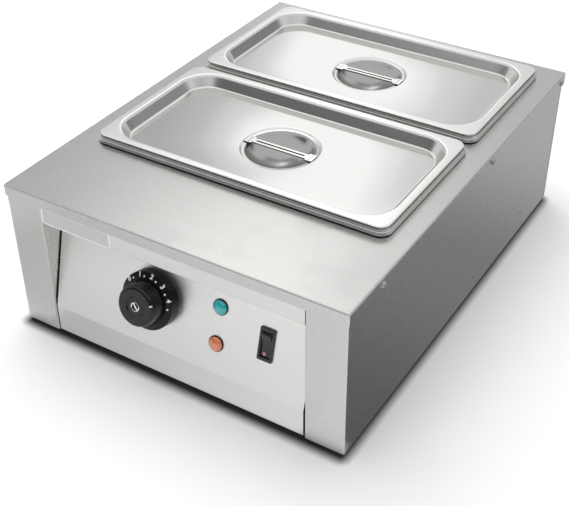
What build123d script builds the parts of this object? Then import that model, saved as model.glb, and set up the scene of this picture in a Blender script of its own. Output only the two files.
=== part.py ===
from build123d import *
from math import cos, radians, sin, sqrt, tan
import os

os.makedirs("parts", exist_ok=True)

# Two-pan chocolate melter with a heated water bath, in millimetres and degrees.
# X runs to the right, Y to the rear and Z up. The origin lies on the counter,
# under the middle of the body.

# Driving dimensions: pans, third-size gastronorm
rim_length = 325.0
rim_width = 176.0
rim_corner = 12.0
rim_height = 5.0
rim_edge_radius = 1.0
rim_flange = 10.0
mouth_corner = 28.0
pan_depth = 100.0
pan_taper = 3.5
pan_foot_radius = 12.0
pan_sheet = 0.8
pan_gap = 9.0

# Driving dimensions: body
front_bay = 105.0
rear_margin = 22.0
side_margin = 22.5
bath_floor_height = 41.0
bath_gap = 24.0
foot_height = 4.0
body_sheet = 1.0
fold_radius = 1.8
sheet_gap = 0.3
lip_height = 12.0
rear_overhang = 5.0
pillar_width = 42.0
cheek_depth = 36.0
rear_flange = 14.0
bottom_flange = 26.0
cutout_gap = 3.5
cutout_corner = 12.0
side_hole_radius = 1.5
side_hole_inset = 86.0
side_hole_height = 24.5
side_hole_spacing = 5.0

# Driving dimensions: front rail, sloping panel, fascia and badge plate
rail_height = 31.0
panel_lean = 15.6
panel_tail = 9.0
panel_side_gap = 1.5
front_setback = 0.8
return_flange = 16.0
fascia_height = 18.5
badge_width = 81.0
badge_height = 17.5
badge_corner = 3.0
badge_sheet = 0.5
badge_border = 1.3
badge_relief = 0.4
badge_inset = 0.6

# Driving dimensions: base, feet and fasteners
tray_edge = 10.0
vent_length = 30.0
vent_width = 3.0
vent_pitch_x = 40.0
vent_pitch_y = 9.0
vent_inset = 125.0
vent_columns = 5
vent_rows = 5
foot_radius = 11.0
foot_taper = 12.0
foot_inset = 15.0
foot_recess_radius = 5.5
foot_recess_depth = 2.4
foot_edge_radius = 0.8
screw_radius = 1.9
screw_head_radius = 3.6
screw_head_height = 2.2
screw_length = 8.0
screw_gap = 0.2
nut_across_flats = 7.0
nut_height = 3.0
lip_screw_offsets = (58.0, 287.0, 477.0)
lip_screw_drop = 8.0
rear_screw_count = 3
rear_screw_pitch = 62.0

# Driving dimensions: water bath
tank_sheet = 0.8
tank_margin = 4.0
tank_corner = 20.0
tank_foot_radius = 6.0
tank_flange = 9.0
shield_gap = 16.0
shield_flange = 12.0
shield_port_radius = 9.0
shield_slot_radius = 5.0

# Driving dimensions: heating element
element_radius = 4.0
element_bend = 20.0
element_spread = 240.0
element_margin = 30.0
element_leg_spacing = 44.0
element_tail = 36.0
pin_radius = 1.6
pin_length = 9.0
gland_radius = 6.5
gland_flange_radius = 8.2
gland_flange_height = 2.0
gland_nut_flats = 17.0
gland_nut_height = 5.0
gland_gap = 0.1
gland_barrel_length = 9.0
clip_width = 10.0
clip_sheet = 1.0
clip_foot = 10.0
clip_gap = 0.2

# Driving dimensions: lids and their straps
lid_inset = 1.0
lid_skirt_height = 4.5
lid_skirt_lean = 10.0
lid_sheet = 0.8
lid_edge_radius = 1.2
recess_gap = 0.75
recess_corner = 32.0
recess_depth = 12.0
recess_taper = 30.0
recess_foot_radius = 2.5
recess_lip_radius = 4.5
bowl_step_radius = 39.5
bowl_step = 1.5
bowl_radius = 35.0
bowl_depth = 21.0
strap_gap = 0.3
strap_width = 7.5
strap_ear_width = 12.0
strap_ear_length = 8.0
strap_sheet = 1.2
weld_radius = 0.7
weld_depth = 0.3
weld_spacing = 3.4
strap_groove_length = 56.0
strap_groove_width = 2.2
strap_groove_depth = 1.6
strap_rib_width = 4.4
strap_rib_depth = 1.2

# Driving dimensions: thermostat, dial and knob
dial_inset = 115.0
dial_up = 50.0
dial_radius = 28.6
dial_edge = 10.5
dial_height = 13.2
dial_flat_radius = 22.8
dial_well_radius = 20.3
dial_floor = 2.0
dial_wall = 2.5
dial_bore_radius = 8.0
knob_base_radius = 21.5
knob_radius = 19.8
knob_height = 29.0
knob_gap = 0.4
knob_edge_radius = 4.0
knob_dish_radius = 10.0
knob_dish_depth = 1.2
knob_hollow_radius = 17.5
knob_hollow_depth = 5.0
knob_hub_radius = 6.0
pointer_width = 1.8
pointer_depth = 0.8
pointer_length = 8.0
pointer_angle = 20.0
cap_radius = 5.0
cap_gap = 0.1
cap_rise = 0.8
cap_seat = 2.0
cap_slot_width = 1.0
cap_slot_depth = 0.4
shaft_radius = 3.0
shaft_flat = 0.8
shaft_gap = 0.05
shaft_reach = 20.0
shaft_depth = 12.0
bush_radius = 5.0
bush_gap = 0.3
bush_rise = 1.5
thermostat_width = 36.0
thermostat_height = 34.0
thermostat_depth = 20.0
thermostat_corner = 3.0
bellows_radius = 13.0
bellows_depth = 5.0
bracket_width = 44.0
bracket_height = 30.0
bracket_sheet = 1.2
bracket_screw_spacing = 28.0
bracket_screw_bite = 3.0
blade_width = 6.3
blade_sheet = 0.8
blade_length = 8.0
blade_spacing = 18.0
blade_offset = 12.0

# Driving dimensions: capillary tube and bulb
capillary_radius = 1.2
capillary_bend = 12.0
capillary_run = 22.0
bulb_radius = 3.2
bulb_length = 80.0
bulb_start = 45.0
bulb_gap = 0.1
bulb_clip_width = 8.0
bulb_clip_foot = 6.0
bulb_clip_sheet = 0.6

# Driving dimensions: indicator lamps
lamp_inset = 98.2
lamp_up = 48.4
lamp_spacing = 37.0
lamp_bezel_radius = 7.9
lamp_bezel_height = 0.9
lens_radius = 7.0
lens_edge = 0.8
lens_dome = 2.8
lamp_body_radius = 5.8
lamp_body_length = 24.0
lamp_socket_radius = 4.8
lamp_socket_depth = 5.0
lens_spigot_length = 4.0
lamp_tab_width = 2.8
lamp_tab_sheet = 0.6
lamp_tab_length = 6.0
lamp_tab_spacing = 6.0
lamp_nut_flats = 15.0
lamp_nut_height = 3.5
lamp_gap = 0.2

# Driving dimensions: rocker switch
switch_inset = 46.8
switch_up = 49.0
bezel_width = 15.5
bezel_length = 32.5
bezel_height = 2.0
bezel_corner = 1.2
switch_body_width = 13.0
switch_body_length = 28.8
switch_gap = 0.3
switch_body_depth = 21.0
switch_well_depth = 9.0
rocker_width = 9.7
rocker_end_radius = 12.6
rocker_gap = 0.4
rocker_pivot_depth = 3.0
rocker_rise = 5.6
rocker_dip = 2.0
rocker_heel = 5.0
rocker_heel_length = 10.0
rocker_skirt = 2.0
rocker_edge_radius = 0.6
rocker_tilt = 9.0
rocker_pin_radius = 1.2
rocker_pin_length = 1.2
rocker_pin_gap = 0.05

# Driving dimensions: terminal block and earth stud
terminal_inset = 90.0
terminal_ways = 3
terminal_pitch = 12.0
terminal_depth = 22.0
terminal_base_height = 6.0
terminal_wall_height = 14.0
terminal_wall = 2.0
terminal_screw_spacing = 12.0
terminal_screw_radius = 2.6
terminal_screw_height = 3.0
earth_inset = 43.0
earth_radius = 2.5
earth_length = 14.0
earth_flats = 8.0
earth_nut_height = 4.0

# Driving dimensions: cable gland
entry_inset = 57.0
entry_height = 22.0
entry_bore_radius = 4.0
entry_thread_radius = 7.6
entry_thread_length = 9.0
entry_hex_flats = 19.0
entry_hex_height = 4.5
entry_dome_radius = 8.8
entry_dome_length = 14.0
entry_nut_flats = 18.0
entry_nut_height = 4.0

# Places that follow from the driving dimensions
mouth_length = rim_length - 2 * rim_flange
mouth_width = rim_width - 2 * rim_flange
recess_length = mouth_length - 2 * recess_gap
recess_width = mouth_width - 2 * recess_gap
pan_pitch = rim_width + pan_gap
body_width = rim_length + 2 * side_margin
body_depth = front_bay + pan_pitch + rim_width + rear_margin
body_height = bath_floor_height + bath_gap + pan_depth - rim_height
front = -body_depth / 2
rear = body_depth / 2
bottom = foot_height
deck = bottom + body_height
deck_underside = deck - body_sheet
wall_x = body_width / 2 - body_sheet - sheet_gap
wall_inner_x = wall_x - body_sheet
pillar_front = front + body_sheet + sheet_gap
pillar_inner_x = body_width / 2 - pillar_width
back_panel_rear = rear - rear_overhang
back_panel_front = back_panel_rear - body_sheet
panel_front = pillar_front + front_setback
fold_z = bottom + rail_height
dial_x = -pillar_inner_x + dial_inset
lamp_x = pillar_inner_x - lamp_inset
switch_x = pillar_inner_x - switch_inset
terminal_x = body_width / 2 - terminal_inset
earth_x = body_width / 2 - earth_inset
entry_x = body_width / 2 - entry_inset
vent_x = -body_width / 2 + vent_inset
fascia_bottom = deck - lip_height - fascia_height
tray_z = bottom + body_sheet
rear_pan_y = rear - rear_margin - rim_width / 2
front_pan_y = rear_pan_y - pan_pitch
pan_places = {"front": front_pan_y, "rear": rear_pan_y}
rim_top = deck + rim_height
pan_bottom = rim_top - pan_depth
cutout_length = mouth_length + 2 * cutout_gap
cutout_width = mouth_width + 2 * cutout_gap
tank_front = front_pan_y - cutout_width / 2 - tank_margin
tank_rear = rear_pan_y + cutout_width / 2 + tank_margin
tank_length = cutout_length + 2 * tank_margin
tank_floor = pan_bottom - bath_gap
tank_under = tank_floor - tank_sheet
tank_front_outer = tank_front - tank_sheet
lid_top = rim_top + lid_skirt_height
recess_floor = lid_top - recess_depth
lean = radians(panel_lean)
panel_plane = Plane(
    origin=(0, panel_front, fold_z), x_dir=(1, 0, 0), z_dir=(0, -cos(lean), sin(lean))
)


def on_panel(x, up, out=0.0):
    """A plane parallel to the sloping panel, with its Z axis pointing out of it."""
    return Plane(
        origin=panel_plane.from_local_coords((x, up, out)),
        x_dir=panel_plane.x_dir,
        z_dir=panel_plane.z_dir,
    )


def turning_plane(x, up):
    """A plane whose Y axis is the outward axis of a round piece on the panel."""
    return Plane(
        origin=panel_plane.from_local_coords((x, up, 0)),
        x_dir=panel_plane.x_dir,
        z_dir=-panel_plane.y_dir,
    )


def outward_axis(x, up):
    """The axis that a round piece on the panel is turned about."""
    return Axis(panel_plane.from_local_coords((x, up, 0)), panel_plane.z_dir)


def drawn_form(plane, length, width, corner, depth, taper, foot_radius):
    """The tapered block, rounded at its foot, that fills a deep-drawn sheet."""
    with BuildPart(mode=Mode.PRIVATE) as form:
        with BuildSketch(plane):
            RectangleRounded(length, width, corner)
        extrude(amount=depth, taper=taper)
        foot = form.faces().sort_by(Axis(plane.origin, plane.z_dir))[-1]
        fillet(foot.edges(), foot_radius)
    return form.part


def pan_head_screw(plane, length):
    """A pan-head screw whose head seats on the plane and whose shank runs behind it."""
    with BuildPart(mode=Mode.PRIVATE) as screw:
        with BuildSketch(plane):
            Circle(screw_head_radius)
        extrude(amount=screw_head_height)
        crown = screw.faces().sort_by(Axis(plane.origin, plane.z_dir))[-1]
        fillet(crown.edges(), screw_head_height / 2)
        with BuildSketch(plane):
            Circle(screw_radius)
        extrude(amount=-length)
    return screw.part


def hexagon_radius(across_flats):
    """The corner radius of a hexagon with this size across its flats."""
    return across_flats / 2 / cos(radians(30))


def hex_nut(plane, across_flats, height, hole_radius):
    """A chamfer-free hexagon nut that seats on the plane."""
    with BuildPart(mode=Mode.PRIVATE) as nut:
        with BuildSketch(plane):
            RegularPolygon(hexagon_radius(across_flats), 6)
            Circle(hole_radius, mode=Mode.SUBTRACT)
        extrude(amount=height)
    return nut.part


# Top plate: one sheet with a folded lip all round and a cut-out for each pan
lip_screw_z = deck - lip_screw_drop
lip_screw_places = [(front + offset_y, lip_screw_z) for offset_y in lip_screw_offsets]
with BuildPart() as top_plate:
    with BuildSketch(Plane.XY.offset(deck - lip_height)):
        Rectangle(body_width, body_depth)
    extrude(amount=lip_height)
    fillet(top_plate.edges().filter_by(Axis.Z), fold_radius)
    fillet(top_plate.faces().sort_by(Axis.Z)[-1].edges(), fold_radius)
    offset(amount=-body_sheet, openings=top_plate.faces().sort_by(Axis.Z)[0])
    with BuildSketch(Plane.XY.offset(deck)):
        with Locations(*[(0, y) for y in pan_places.values()]):
            RectangleRounded(cutout_length, cutout_width, cutout_corner)
    extrude(amount=-body_sheet, mode=Mode.SUBTRACT)
    with BuildSketch(Plane.YZ):
        with Locations(*lip_screw_places):
            Circle(screw_radius + screw_gap)
    extrude(amount=body_width, both=True, mode=Mode.SUBTRACT)
top_plate.part.label = "top_plate"
export_step(top_plate.part, "parts/top_plate.step")

# Side panels: wall, front pillar, return cheek, rear flange and bottom flange in one sheet
side_top = deck_underside - sheet_gap
side_height = side_top - bottom
foot_x = wall_x - foot_inset
foot_y = -pillar_front - foot_inset
foot_rear_y = back_panel_front - body_sheet - foot_inset
rear_screw_places = [
    (side * (wall_x - rear_flange / 2), bottom + side_height / 2 + rear_screw_pitch * step)
    for side in (-1, 1)
    for step in [row - (rear_screw_count - 1) / 2 for row in range(rear_screw_count)]
]
foot_places = [(side * foot_x, y) for side in (-1, 1) for y in (-foot_y, foot_rear_y)]
with BuildPart() as side_panel_right:
    with BuildSketch(Plane.XY.offset(bottom)):
        with BuildLine():
            FilletPolyline(
                (wall_x - rear_flange, back_panel_front),
                (wall_x, back_panel_front),
                (wall_x, pillar_front),
                (pillar_inner_x, pillar_front),
                (pillar_inner_x, pillar_front + cheek_depth),
                radius=fold_radius,
            )
            offset(amount=body_sheet, side=Side.RIGHT)
        make_face()
    extrude(amount=side_height)
    with BuildSketch(Plane.XY.offset(bottom)):
        with Locations((wall_inner_x, pillar_front + body_sheet)):
            Rectangle(
                bottom_flange,
                back_panel_front - pillar_front - 2 * body_sheet,
                align=(Align.MAX, Align.MIN),
            )
    extrude(amount=body_sheet)
    with BuildSketch(Plane.YZ):
        with Locations(*lip_screw_places):
            Circle(screw_radius + screw_gap)
        with Locations((rear - side_hole_inset, bottom + side_hole_height)):
            with GridLocations(side_hole_spacing, 0, 2, 1):
                Circle(side_hole_radius)
    extrude(amount=body_width, mode=Mode.SUBTRACT)
    with BuildSketch(Plane.XZ.offset(-back_panel_front)):
        with Locations(*rear_screw_places):
            Circle(screw_radius + screw_gap)
    extrude(amount=2 * body_sheet, mode=Mode.SUBTRACT)
    with BuildSketch(Plane.XY.offset(bottom)):
        with Locations(*foot_places):
            Circle(screw_radius + screw_gap)
    extrude(amount=body_sheet, mode=Mode.SUBTRACT)
side_panel_right.part.label = "side_panel_right"
export_step(side_panel_right.part, "parts/side_panel_right.step")

with BuildPart() as side_panel_left:
    mirror(side_panel_right.part, about=Plane.YZ)
side_panel_left.part.label = "side_panel_left"
export_step(side_panel_left.part, "parts/side_panel_left.step")

# Rear panel: a flat sheet with a bottom return, bored for the cable gland
with BuildPart() as rear_panel:
    with BuildSketch(Plane.YZ.offset(-wall_x)):
        with BuildLine():
            FilletPolyline(
                (back_panel_rear, side_top),
                (back_panel_rear, bottom),
                (back_panel_rear - return_flange, bottom),
                radius=fold_radius,
            )
            offset(amount=body_sheet, side=Side.RIGHT)
        make_face()
    extrude(amount=2 * wall_x)
    with BuildSketch(Plane.XY.offset(bottom)):
        with Locations((wall_x, back_panel_front), (-wall_x, back_panel_front)):
            Rectangle(
                2 * (bottom_flange + 2 * body_sheet),
                return_flange,
                align=(Align.CENTER, Align.MAX),
            )
    extrude(amount=body_sheet + fold_radius, mode=Mode.SUBTRACT)
    with BuildSketch(Plane.XZ.offset(-back_panel_rear)):
        with Locations(*rear_screw_places):
            Circle(screw_radius + screw_gap)
        with Locations((entry_x, bottom + entry_height)):
            Circle(entry_thread_radius + screw_gap)
    extrude(amount=2 * body_sheet, mode=Mode.SUBTRACT)
rear_panel.part.label = "rear_panel"
export_step(rear_panel.part, "parts/rear_panel.step")

# Bottom plate: a shallow tray on the bottom flanges, with vents under the electrics
tray_front = pillar_front + cheek_depth + sheet_gap
tray_rear = back_panel_front - body_sheet - sheet_gap
tray_half_width = wall_inner_x - sheet_gap
tray_top = tray_z + body_sheet
shield_rear = tank_front_outer - shield_gap
bay_middle = (tray_front + shield_rear - body_sheet) / 2
with BuildPart() as bottom_plate:
    with BuildSketch(Plane.XY.offset(tray_z)):
        with Locations((0, tray_front)):
            Rectangle(2 * tray_half_width, tray_rear - tray_front, align=(Align.CENTER, Align.MIN))
    extrude(amount=tray_edge)
    offset(amount=-body_sheet, openings=bottom_plate.faces().sort_by(Axis.Z)[-1])
    with BuildSketch(Plane.XY.offset(tray_z)):
        with Locations((vent_x, bay_middle)):
            with GridLocations(vent_pitch_x, vent_pitch_y, vent_columns, vent_rows):
                SlotOverall(vent_length, vent_width)
        with Locations((-foot_x, foot_rear_y), (foot_x, foot_rear_y), (earth_x, bay_middle)):
            Circle(screw_radius + screw_gap)
    extrude(amount=body_sheet, mode=Mode.SUBTRACT)
bottom_plate.part.label = "bottom_plate"
export_step(bottom_plate.part, "parts/bottom_plate.step")

# Feet: moulded rubber pads, each with a sunk screw and a nut inside the body
with BuildPart() as feet:
    with BuildSketch(Plane((0, 0, bottom), z_dir=(0, 0, -1))):
        with Locations(*[(x, -y) for x, y in foot_places]):
            Circle(foot_radius)
    extrude(amount=foot_height, taper=foot_taper)
    fillet(feet.faces().filter_by(Axis.Z).group_by(Axis.Z)[0].edges(), foot_edge_radius)
    with BuildSketch(Plane.XY):
        with Locations(*foot_places):
            Circle(foot_recess_radius)
    extrude(amount=foot_recess_depth, mode=Mode.SUBTRACT)
    with BuildSketch(Plane.XY):
        with Locations(*foot_places):
            Circle(screw_radius + screw_gap)
    extrude(amount=foot_height, mode=Mode.SUBTRACT)
feet.part.label = "feet"
export_step(feet.part, "parts/feet.step")

with BuildPart() as foot_screws:
    for x, y in foot_places:
        add(pan_head_screw(Plane((x, y, foot_recess_depth), z_dir=(0, 0, -1)), screw_length))
foot_screws.part.label = "foot_screws"
export_step(foot_screws.part, "parts/foot_screws.step")

with BuildPart() as foot_nuts:
    for x, y in foot_places:
        seat = tray_top if y > 0 else tray_z
        add(hex_nut(Plane((x, y, seat)), nut_across_flats, nut_height, screw_radius + screw_gap))
foot_nuts.part.label = "foot_nuts"
export_step(foot_nuts.part, "parts/foot_nuts.step")

# Screws of the top plate and of the rear panel
with BuildPart() as lip_screws:
    for side in (-1, 1):
        for y, z in lip_screw_places:
            seat = Plane((side * body_width / 2, y, z), z_dir=(side, 0, 0))
            add(pan_head_screw(seat, screw_length))
lip_screws.part.label = "lip_screws"
export_step(lip_screws.part, "parts/lip_screws.step")

with BuildPart() as rear_screws:
    for x, z in rear_screw_places:
        add(pan_head_screw(Plane((x, back_panel_rear, z), z_dir=(0, 1, 0)), screw_length))
rear_screws.part.label = "rear_screws"
export_step(rear_screws.part, "parts/rear_screws.step")

# Control panel: bottom return, front rail and sloping face in one folded sheet
panel_half_width = pillar_inner_x - panel_side_gap
panel_tail_z = fascia_bottom + panel_tail
with BuildPart() as control_panel:
    with BuildSketch(Plane.YZ.offset(-panel_half_width)):
        with BuildLine():
            FilletPolyline(
                (panel_front + cheek_depth + return_flange, bottom),
                (panel_front, bottom),
                (panel_front, fold_z),
                (panel_front + (panel_tail_z - fold_z) * tan(lean), panel_tail_z),
                radius=fold_radius,
            )
            offset(amount=body_sheet, side=Side.RIGHT)
        make_face()
    extrude(amount=2 * panel_half_width)
    with BuildSketch(panel_plane):
        with Locations((dial_x, dial_up)):
            Circle(bush_radius + bush_gap)
            with GridLocations(bracket_screw_spacing, 0, 2, 1):
                Circle(screw_radius + screw_gap)
        with Locations((lamp_x, lamp_up)):
            with GridLocations(0, lamp_spacing, 1, 2):
                Circle(lamp_body_radius + lamp_gap)
        with Locations((switch_x, switch_up)):
            Rectangle(switch_body_width + 2 * switch_gap, switch_body_length + 2 * switch_gap)
    extrude(amount=-2 * body_sheet, mode=Mode.SUBTRACT)
control_panel.part.label = "control_panel"
export_step(control_panel.part, "parts/control_panel.step")

# Fascia: the rail above the panel, with a flange under the deck and a lower return
fascia_half_width = pillar_inner_x - sheet_gap
fascia_return = (fascia_bottom - fold_z) * tan(lean) - sheet_gap
with BuildPart() as fascia:
    with BuildSketch(Plane.YZ.offset(-fascia_half_width)):
        with BuildLine():
            FilletPolyline(
                (panel_front + fascia_return, fascia_bottom),
                (panel_front, fascia_bottom),
                (panel_front, deck_underside),
                (panel_front + return_flange, deck_underside),
                radius=fold_radius,
            )
            offset(amount=body_sheet, side=Side.RIGHT)
        make_face()
    extrude(amount=2 * fascia_half_width)
fascia.part.label = "fascia"
export_step(fascia.part, "parts/fascia.step")

# Badge plate: a thin bare plate with a raised border, at the left end of the fascia
badge_left = -pillar_inner_x + badge_inset
badge_low = fascia_bottom + badge_inset
with BuildPart() as badge_plate:
    with BuildSketch(Plane.XZ.offset(-panel_front)) as badge_outline:
        with Locations((badge_left, badge_low)):
            Rectangle(badge_width, badge_height, align=(Align.MIN, Align.MIN))
        fillet(badge_outline.vertices().group_by(Axis.X)[-1].sort_by(Axis.Y)[-1], badge_corner)
    extrude(amount=badge_sheet)
    with BuildSketch(Plane.XZ.offset(-panel_front + badge_sheet)):
        add(badge_outline.sketch_local)
        offset(amount=-badge_border, mode=Mode.SUBTRACT)
    extrude(amount=badge_relief)
badge_plate.part.label = "badge_plate"
export_step(badge_plate.part, "parts/badge_plate.step")

# Water tank: a drawn bath with an outward flange under the deck
tank_middle = (tank_front + tank_rear) / 2
tank_width = tank_rear - tank_front
element_rise = tank_foot_radius + gland_flange_radius + sheet_gap
element_z = tank_floor + element_rise
leg_x = element_leg_spacing / 2
tank_mouth = Plane((0, tank_middle, deck_underside), x_dir=(1, 0, 0), z_dir=(0, 0, -1))
with BuildPart() as water_tank:
    with BuildSketch(tank_mouth):
        RectangleRounded(
            tank_length + 2 * (tank_sheet + tank_flange),
            tank_width + 2 * (tank_sheet + tank_flange),
            tank_corner + tank_sheet + tank_flange,
        )
    extrude(amount=tank_sheet)
    add(
        drawn_form(
            tank_mouth,
            tank_length + 2 * tank_sheet,
            tank_width + 2 * tank_sheet,
            tank_corner + tank_sheet,
            deck_underside - tank_under,
            0,
            tank_foot_radius + tank_sheet,
        )
    )
    add(
        drawn_form(
            tank_mouth,
            tank_length,
            tank_width,
            tank_corner,
            deck_underside - tank_floor,
            0,
            tank_foot_radius,
        ),
        mode=Mode.SUBTRACT,
    )
    with BuildSketch(Plane.XZ.offset(-tank_front)):
        with Locations((-leg_x, element_z), (leg_x, element_z)):
            Circle(gland_radius + gland_gap)
    extrude(amount=2 * tank_sheet, mode=Mode.SUBTRACT)
water_tank.part.label = "water_tank"
export_step(water_tank.part, "parts/water_tank.step")

# Heating element: one sheathed tube bent into a loop, with a pin in each cold end
element_tail_y = tank_front_outer - element_tail
element_front_y = tank_front + element_margin
element_rear_y = tank_rear - element_margin
half_spread = element_spread / 2
with BuildPart() as heating_element:
    with BuildLine(Plane.XY.offset(element_z)) as element_path:
        FilletPolyline(
            (-leg_x, element_tail_y),
            (-leg_x, element_front_y),
            (-half_spread, element_front_y),
            (-half_spread, element_rear_y),
            (half_spread, element_rear_y),
            (half_spread, element_front_y),
            (leg_x, element_front_y),
            (leg_x, element_tail_y),
            radius=element_bend,
        )
    with BuildSketch(Plane(element_path.line @ 0, z_dir=element_path.line % 0)):
        Circle(element_radius)
    sweep()
    with BuildSketch(Plane.XZ.offset(-element_tail_y)):
        with Locations((-leg_x, element_z), (leg_x, element_z)):
            Circle(pin_radius)
    extrude(amount=pin_length)
heating_element.part.label = "heating_element"
export_step(heating_element.part, "parts/heating_element.step")

# Element glands: a flanged barrel through the tank wall on each leg, and its nut outside
leg_places = [(-leg_x, element_z), (leg_x, element_z)]
with BuildPart() as element_glands:
    with BuildSketch(Plane.XZ.offset(-tank_front)):
        with Locations(*leg_places):
            Circle(gland_flange_radius)
    extrude(amount=-gland_flange_height)
    with BuildSketch(Plane.XZ.offset(-tank_front)):
        with Locations(*leg_places):
            Circle(gland_radius)
    extrude(amount=gland_barrel_length)
    with BuildSketch(Plane.XZ.offset(-tank_front - gland_flange_height)):
        with Locations(*leg_places):
            Circle(element_radius + gland_gap)
    extrude(amount=gland_flange_height + gland_barrel_length, mode=Mode.SUBTRACT)
element_glands.part.label = "element_glands"
export_step(element_glands.part, "parts/element_glands.step")

with BuildPart() as element_gland_nuts:
    for x, z in leg_places:
        seat = Plane((x, tank_front_outer, z), z_dir=(0, -1, 0))
        add(hex_nut(seat, gland_nut_flats, gland_nut_height, gland_radius + gland_gap))
element_gland_nuts.part.label = "element_gland_nuts"
export_step(element_gland_nuts.part, "parts/element_gland_nuts.step")


def hat_strip(plane, half_gap, height, foot, sheet, width):
    """A strip bent over a tube, its feet on the plane's X axis and its arch along Y."""
    with BuildPart(mode=Mode.PRIVATE) as strip:
        with BuildSketch(plane.offset(-width / 2)):
            with BuildLine():
                FilletPolyline(
                    (-half_gap - foot, 0),
                    (-half_gap, 0),
                    (-half_gap, height),
                    (half_gap, height),
                    (half_gap, 0),
                    (half_gap + foot, 0),
                    radius=sheet + clip_gap,
                )
                offset(amount=sheet, side=Side.LEFT)
            make_face()
        extrude(amount=width)
    return strip.part


# Element clips: three bent strips that hold the loop down to the tank floor
clip_half_gap = element_radius + clip_gap
clip_height = element_rise + element_radius + clip_gap
clip_places = [
    ((-half_spread, tank_middle), (1, 0, 0)),
    ((half_spread, tank_middle), (1, 0, 0)),
    ((0, element_rear_y), (0, 1, 0)),
]
with BuildPart() as element_clips:
    for (x, y), across in clip_places:
        foot = Plane((x, y, tank_floor), x_dir=across, z_dir=Vector(*across).cross(Vector(0, 0, 1)))
        add(hat_strip(foot, clip_half_gap, clip_height, clip_foot, clip_sheet, clip_width))
element_clips.part.label = "element_clips"
export_step(element_clips.part, "parts/element_clips.step")

# Capillary route: out of the thermostat, down, and rearward under the tank to the bulb
thermostat_back = -body_sheet - bracket_sheet - thermostat_depth - bellows_depth
capillary_from = panel_plane.from_local_coords((dial_x, dial_up, thermostat_back))
bulb_z = tank_under - bulb_gap - bulb_radius
bulb_front = tank_front + bulb_start
capillary_turn_y = capillary_from.Y + capillary_run * cos(lean)
capillary_turn_z = capillary_from.Z - capillary_run * sin(lean)

# Heat shield: a flanged sheet between the bath and the electrics, with ports
shield_half_width = wall_inner_x - body_sheet - 2 * sheet_gap
with BuildPart() as heat_shield:
    with BuildSketch(Plane.YZ.offset(-shield_half_width)):
        with BuildLine():
            FilletPolyline(
                (shield_rear - shield_flange, deck_underside),
                (shield_rear, deck_underside),
                (shield_rear, tray_top),
                (shield_rear - shield_flange, tray_top),
                radius=fold_radius,
            )
            offset(amount=body_sheet, side=Side.RIGHT)
        make_face()
    extrude(amount=2 * shield_half_width)
    with BuildSketch(Plane.XZ.offset(-shield_rear)):
        with Locations(*leg_places):
            Circle(shield_port_radius)
        with Locations((dial_x, bulb_z)):
            Circle(shield_slot_radius)
    extrude(amount=2 * body_sheet, mode=Mode.SUBTRACT)
heat_shield.part.label = "heat_shield"
export_step(heat_shield.part, "parts/heat_shield.step")

# Thermostat: bush through the panel, body with its bellows behind, and two blades
with BuildPart() as thermostat:
    with BuildSketch(on_panel(dial_x, dial_up, -body_sheet - bracket_sheet)):
        RectangleRounded(thermostat_width, thermostat_height, thermostat_corner)
    extrude(amount=-thermostat_depth)
    with BuildSketch(on_panel(dial_x, dial_up, -body_sheet - bracket_sheet - thermostat_depth)):
        Circle(bellows_radius)
    extrude(amount=-bellows_depth)
    with BuildSketch(on_panel(dial_x, dial_up, bush_rise)):
        Circle(bush_radius)
    extrude(amount=-bush_rise - body_sheet - bracket_sheet)
    with BuildSketch(on_panel(dial_x, dial_up, bush_rise)):
        Circle(shaft_radius + shaft_gap)
    extrude(
        amount=-bush_rise - body_sheet - bracket_sheet - shaft_depth - bush_gap,
        mode=Mode.SUBTRACT,
    )
    with BuildSketch(on_panel(dial_x, dial_up, -body_sheet - bracket_sheet)):
        with GridLocations(bracket_screw_spacing, 0, 2, 1):
            Circle(screw_radius + screw_gap)
    extrude(amount=-bracket_screw_bite - screw_gap, mode=Mode.SUBTRACT)
    with BuildSketch(
        on_panel(
            dial_x,
            dial_up + blade_offset,
            -body_sheet - bracket_sheet - thermostat_depth,
        )
    ):
        with GridLocations(blade_spacing, 0, 2, 1):
            Rectangle(blade_width, blade_sheet)
    extrude(amount=-blade_length)
thermostat.part.label = "thermostat"
export_step(thermostat.part, "parts/thermostat.step")

with BuildPart() as thermostat_bracket:
    with BuildSketch(on_panel(dial_x, dial_up, -body_sheet)):
        RectangleRounded(bracket_width, bracket_height, thermostat_corner)
        Circle(bush_radius + bush_gap, mode=Mode.SUBTRACT)
        with GridLocations(bracket_screw_spacing, 0, 2, 1):
            Circle(screw_radius + screw_gap, mode=Mode.SUBTRACT)
    extrude(amount=-bracket_sheet)
thermostat_bracket.part.label = "thermostat_bracket"
export_step(thermostat_bracket.part, "parts/thermostat_bracket.step")

bracket_screw_length = dial_floor + body_sheet + bracket_sheet + bracket_screw_bite
with BuildPart() as thermostat_screws:
    for side in (-1, 1):
        seat = on_panel(dial_x + side * bracket_screw_spacing / 2, dial_up, dial_floor)
        add(pan_head_screw(seat, bracket_screw_length))
thermostat_screws.part.label = "thermostat_screws"
export_step(thermostat_screws.part, "parts/thermostat_screws.step")

# Thermostat shaft: a round spindle with a flat at the knob's end
shaft_back = -body_sheet - bracket_sheet - shaft_depth
shaft_flat_length = shaft_reach - dial_height
with BuildPart() as thermostat_shaft:
    with BuildSketch(on_panel(dial_x, dial_up, shaft_back)):
        Circle(shaft_radius)
    extrude(amount=shaft_reach - shaft_back)
    with BuildSketch(on_panel(dial_x, dial_up, shaft_reach)):
        with Locations((0, shaft_radius)):
            Rectangle(2 * shaft_radius, 2 * shaft_flat)
    extrude(amount=-shaft_flat_length, mode=Mode.SUBTRACT)
thermostat_shaft.part.label = "thermostat_shaft"
export_step(thermostat_shaft.part, "parts/thermostat_shaft.step")

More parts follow.
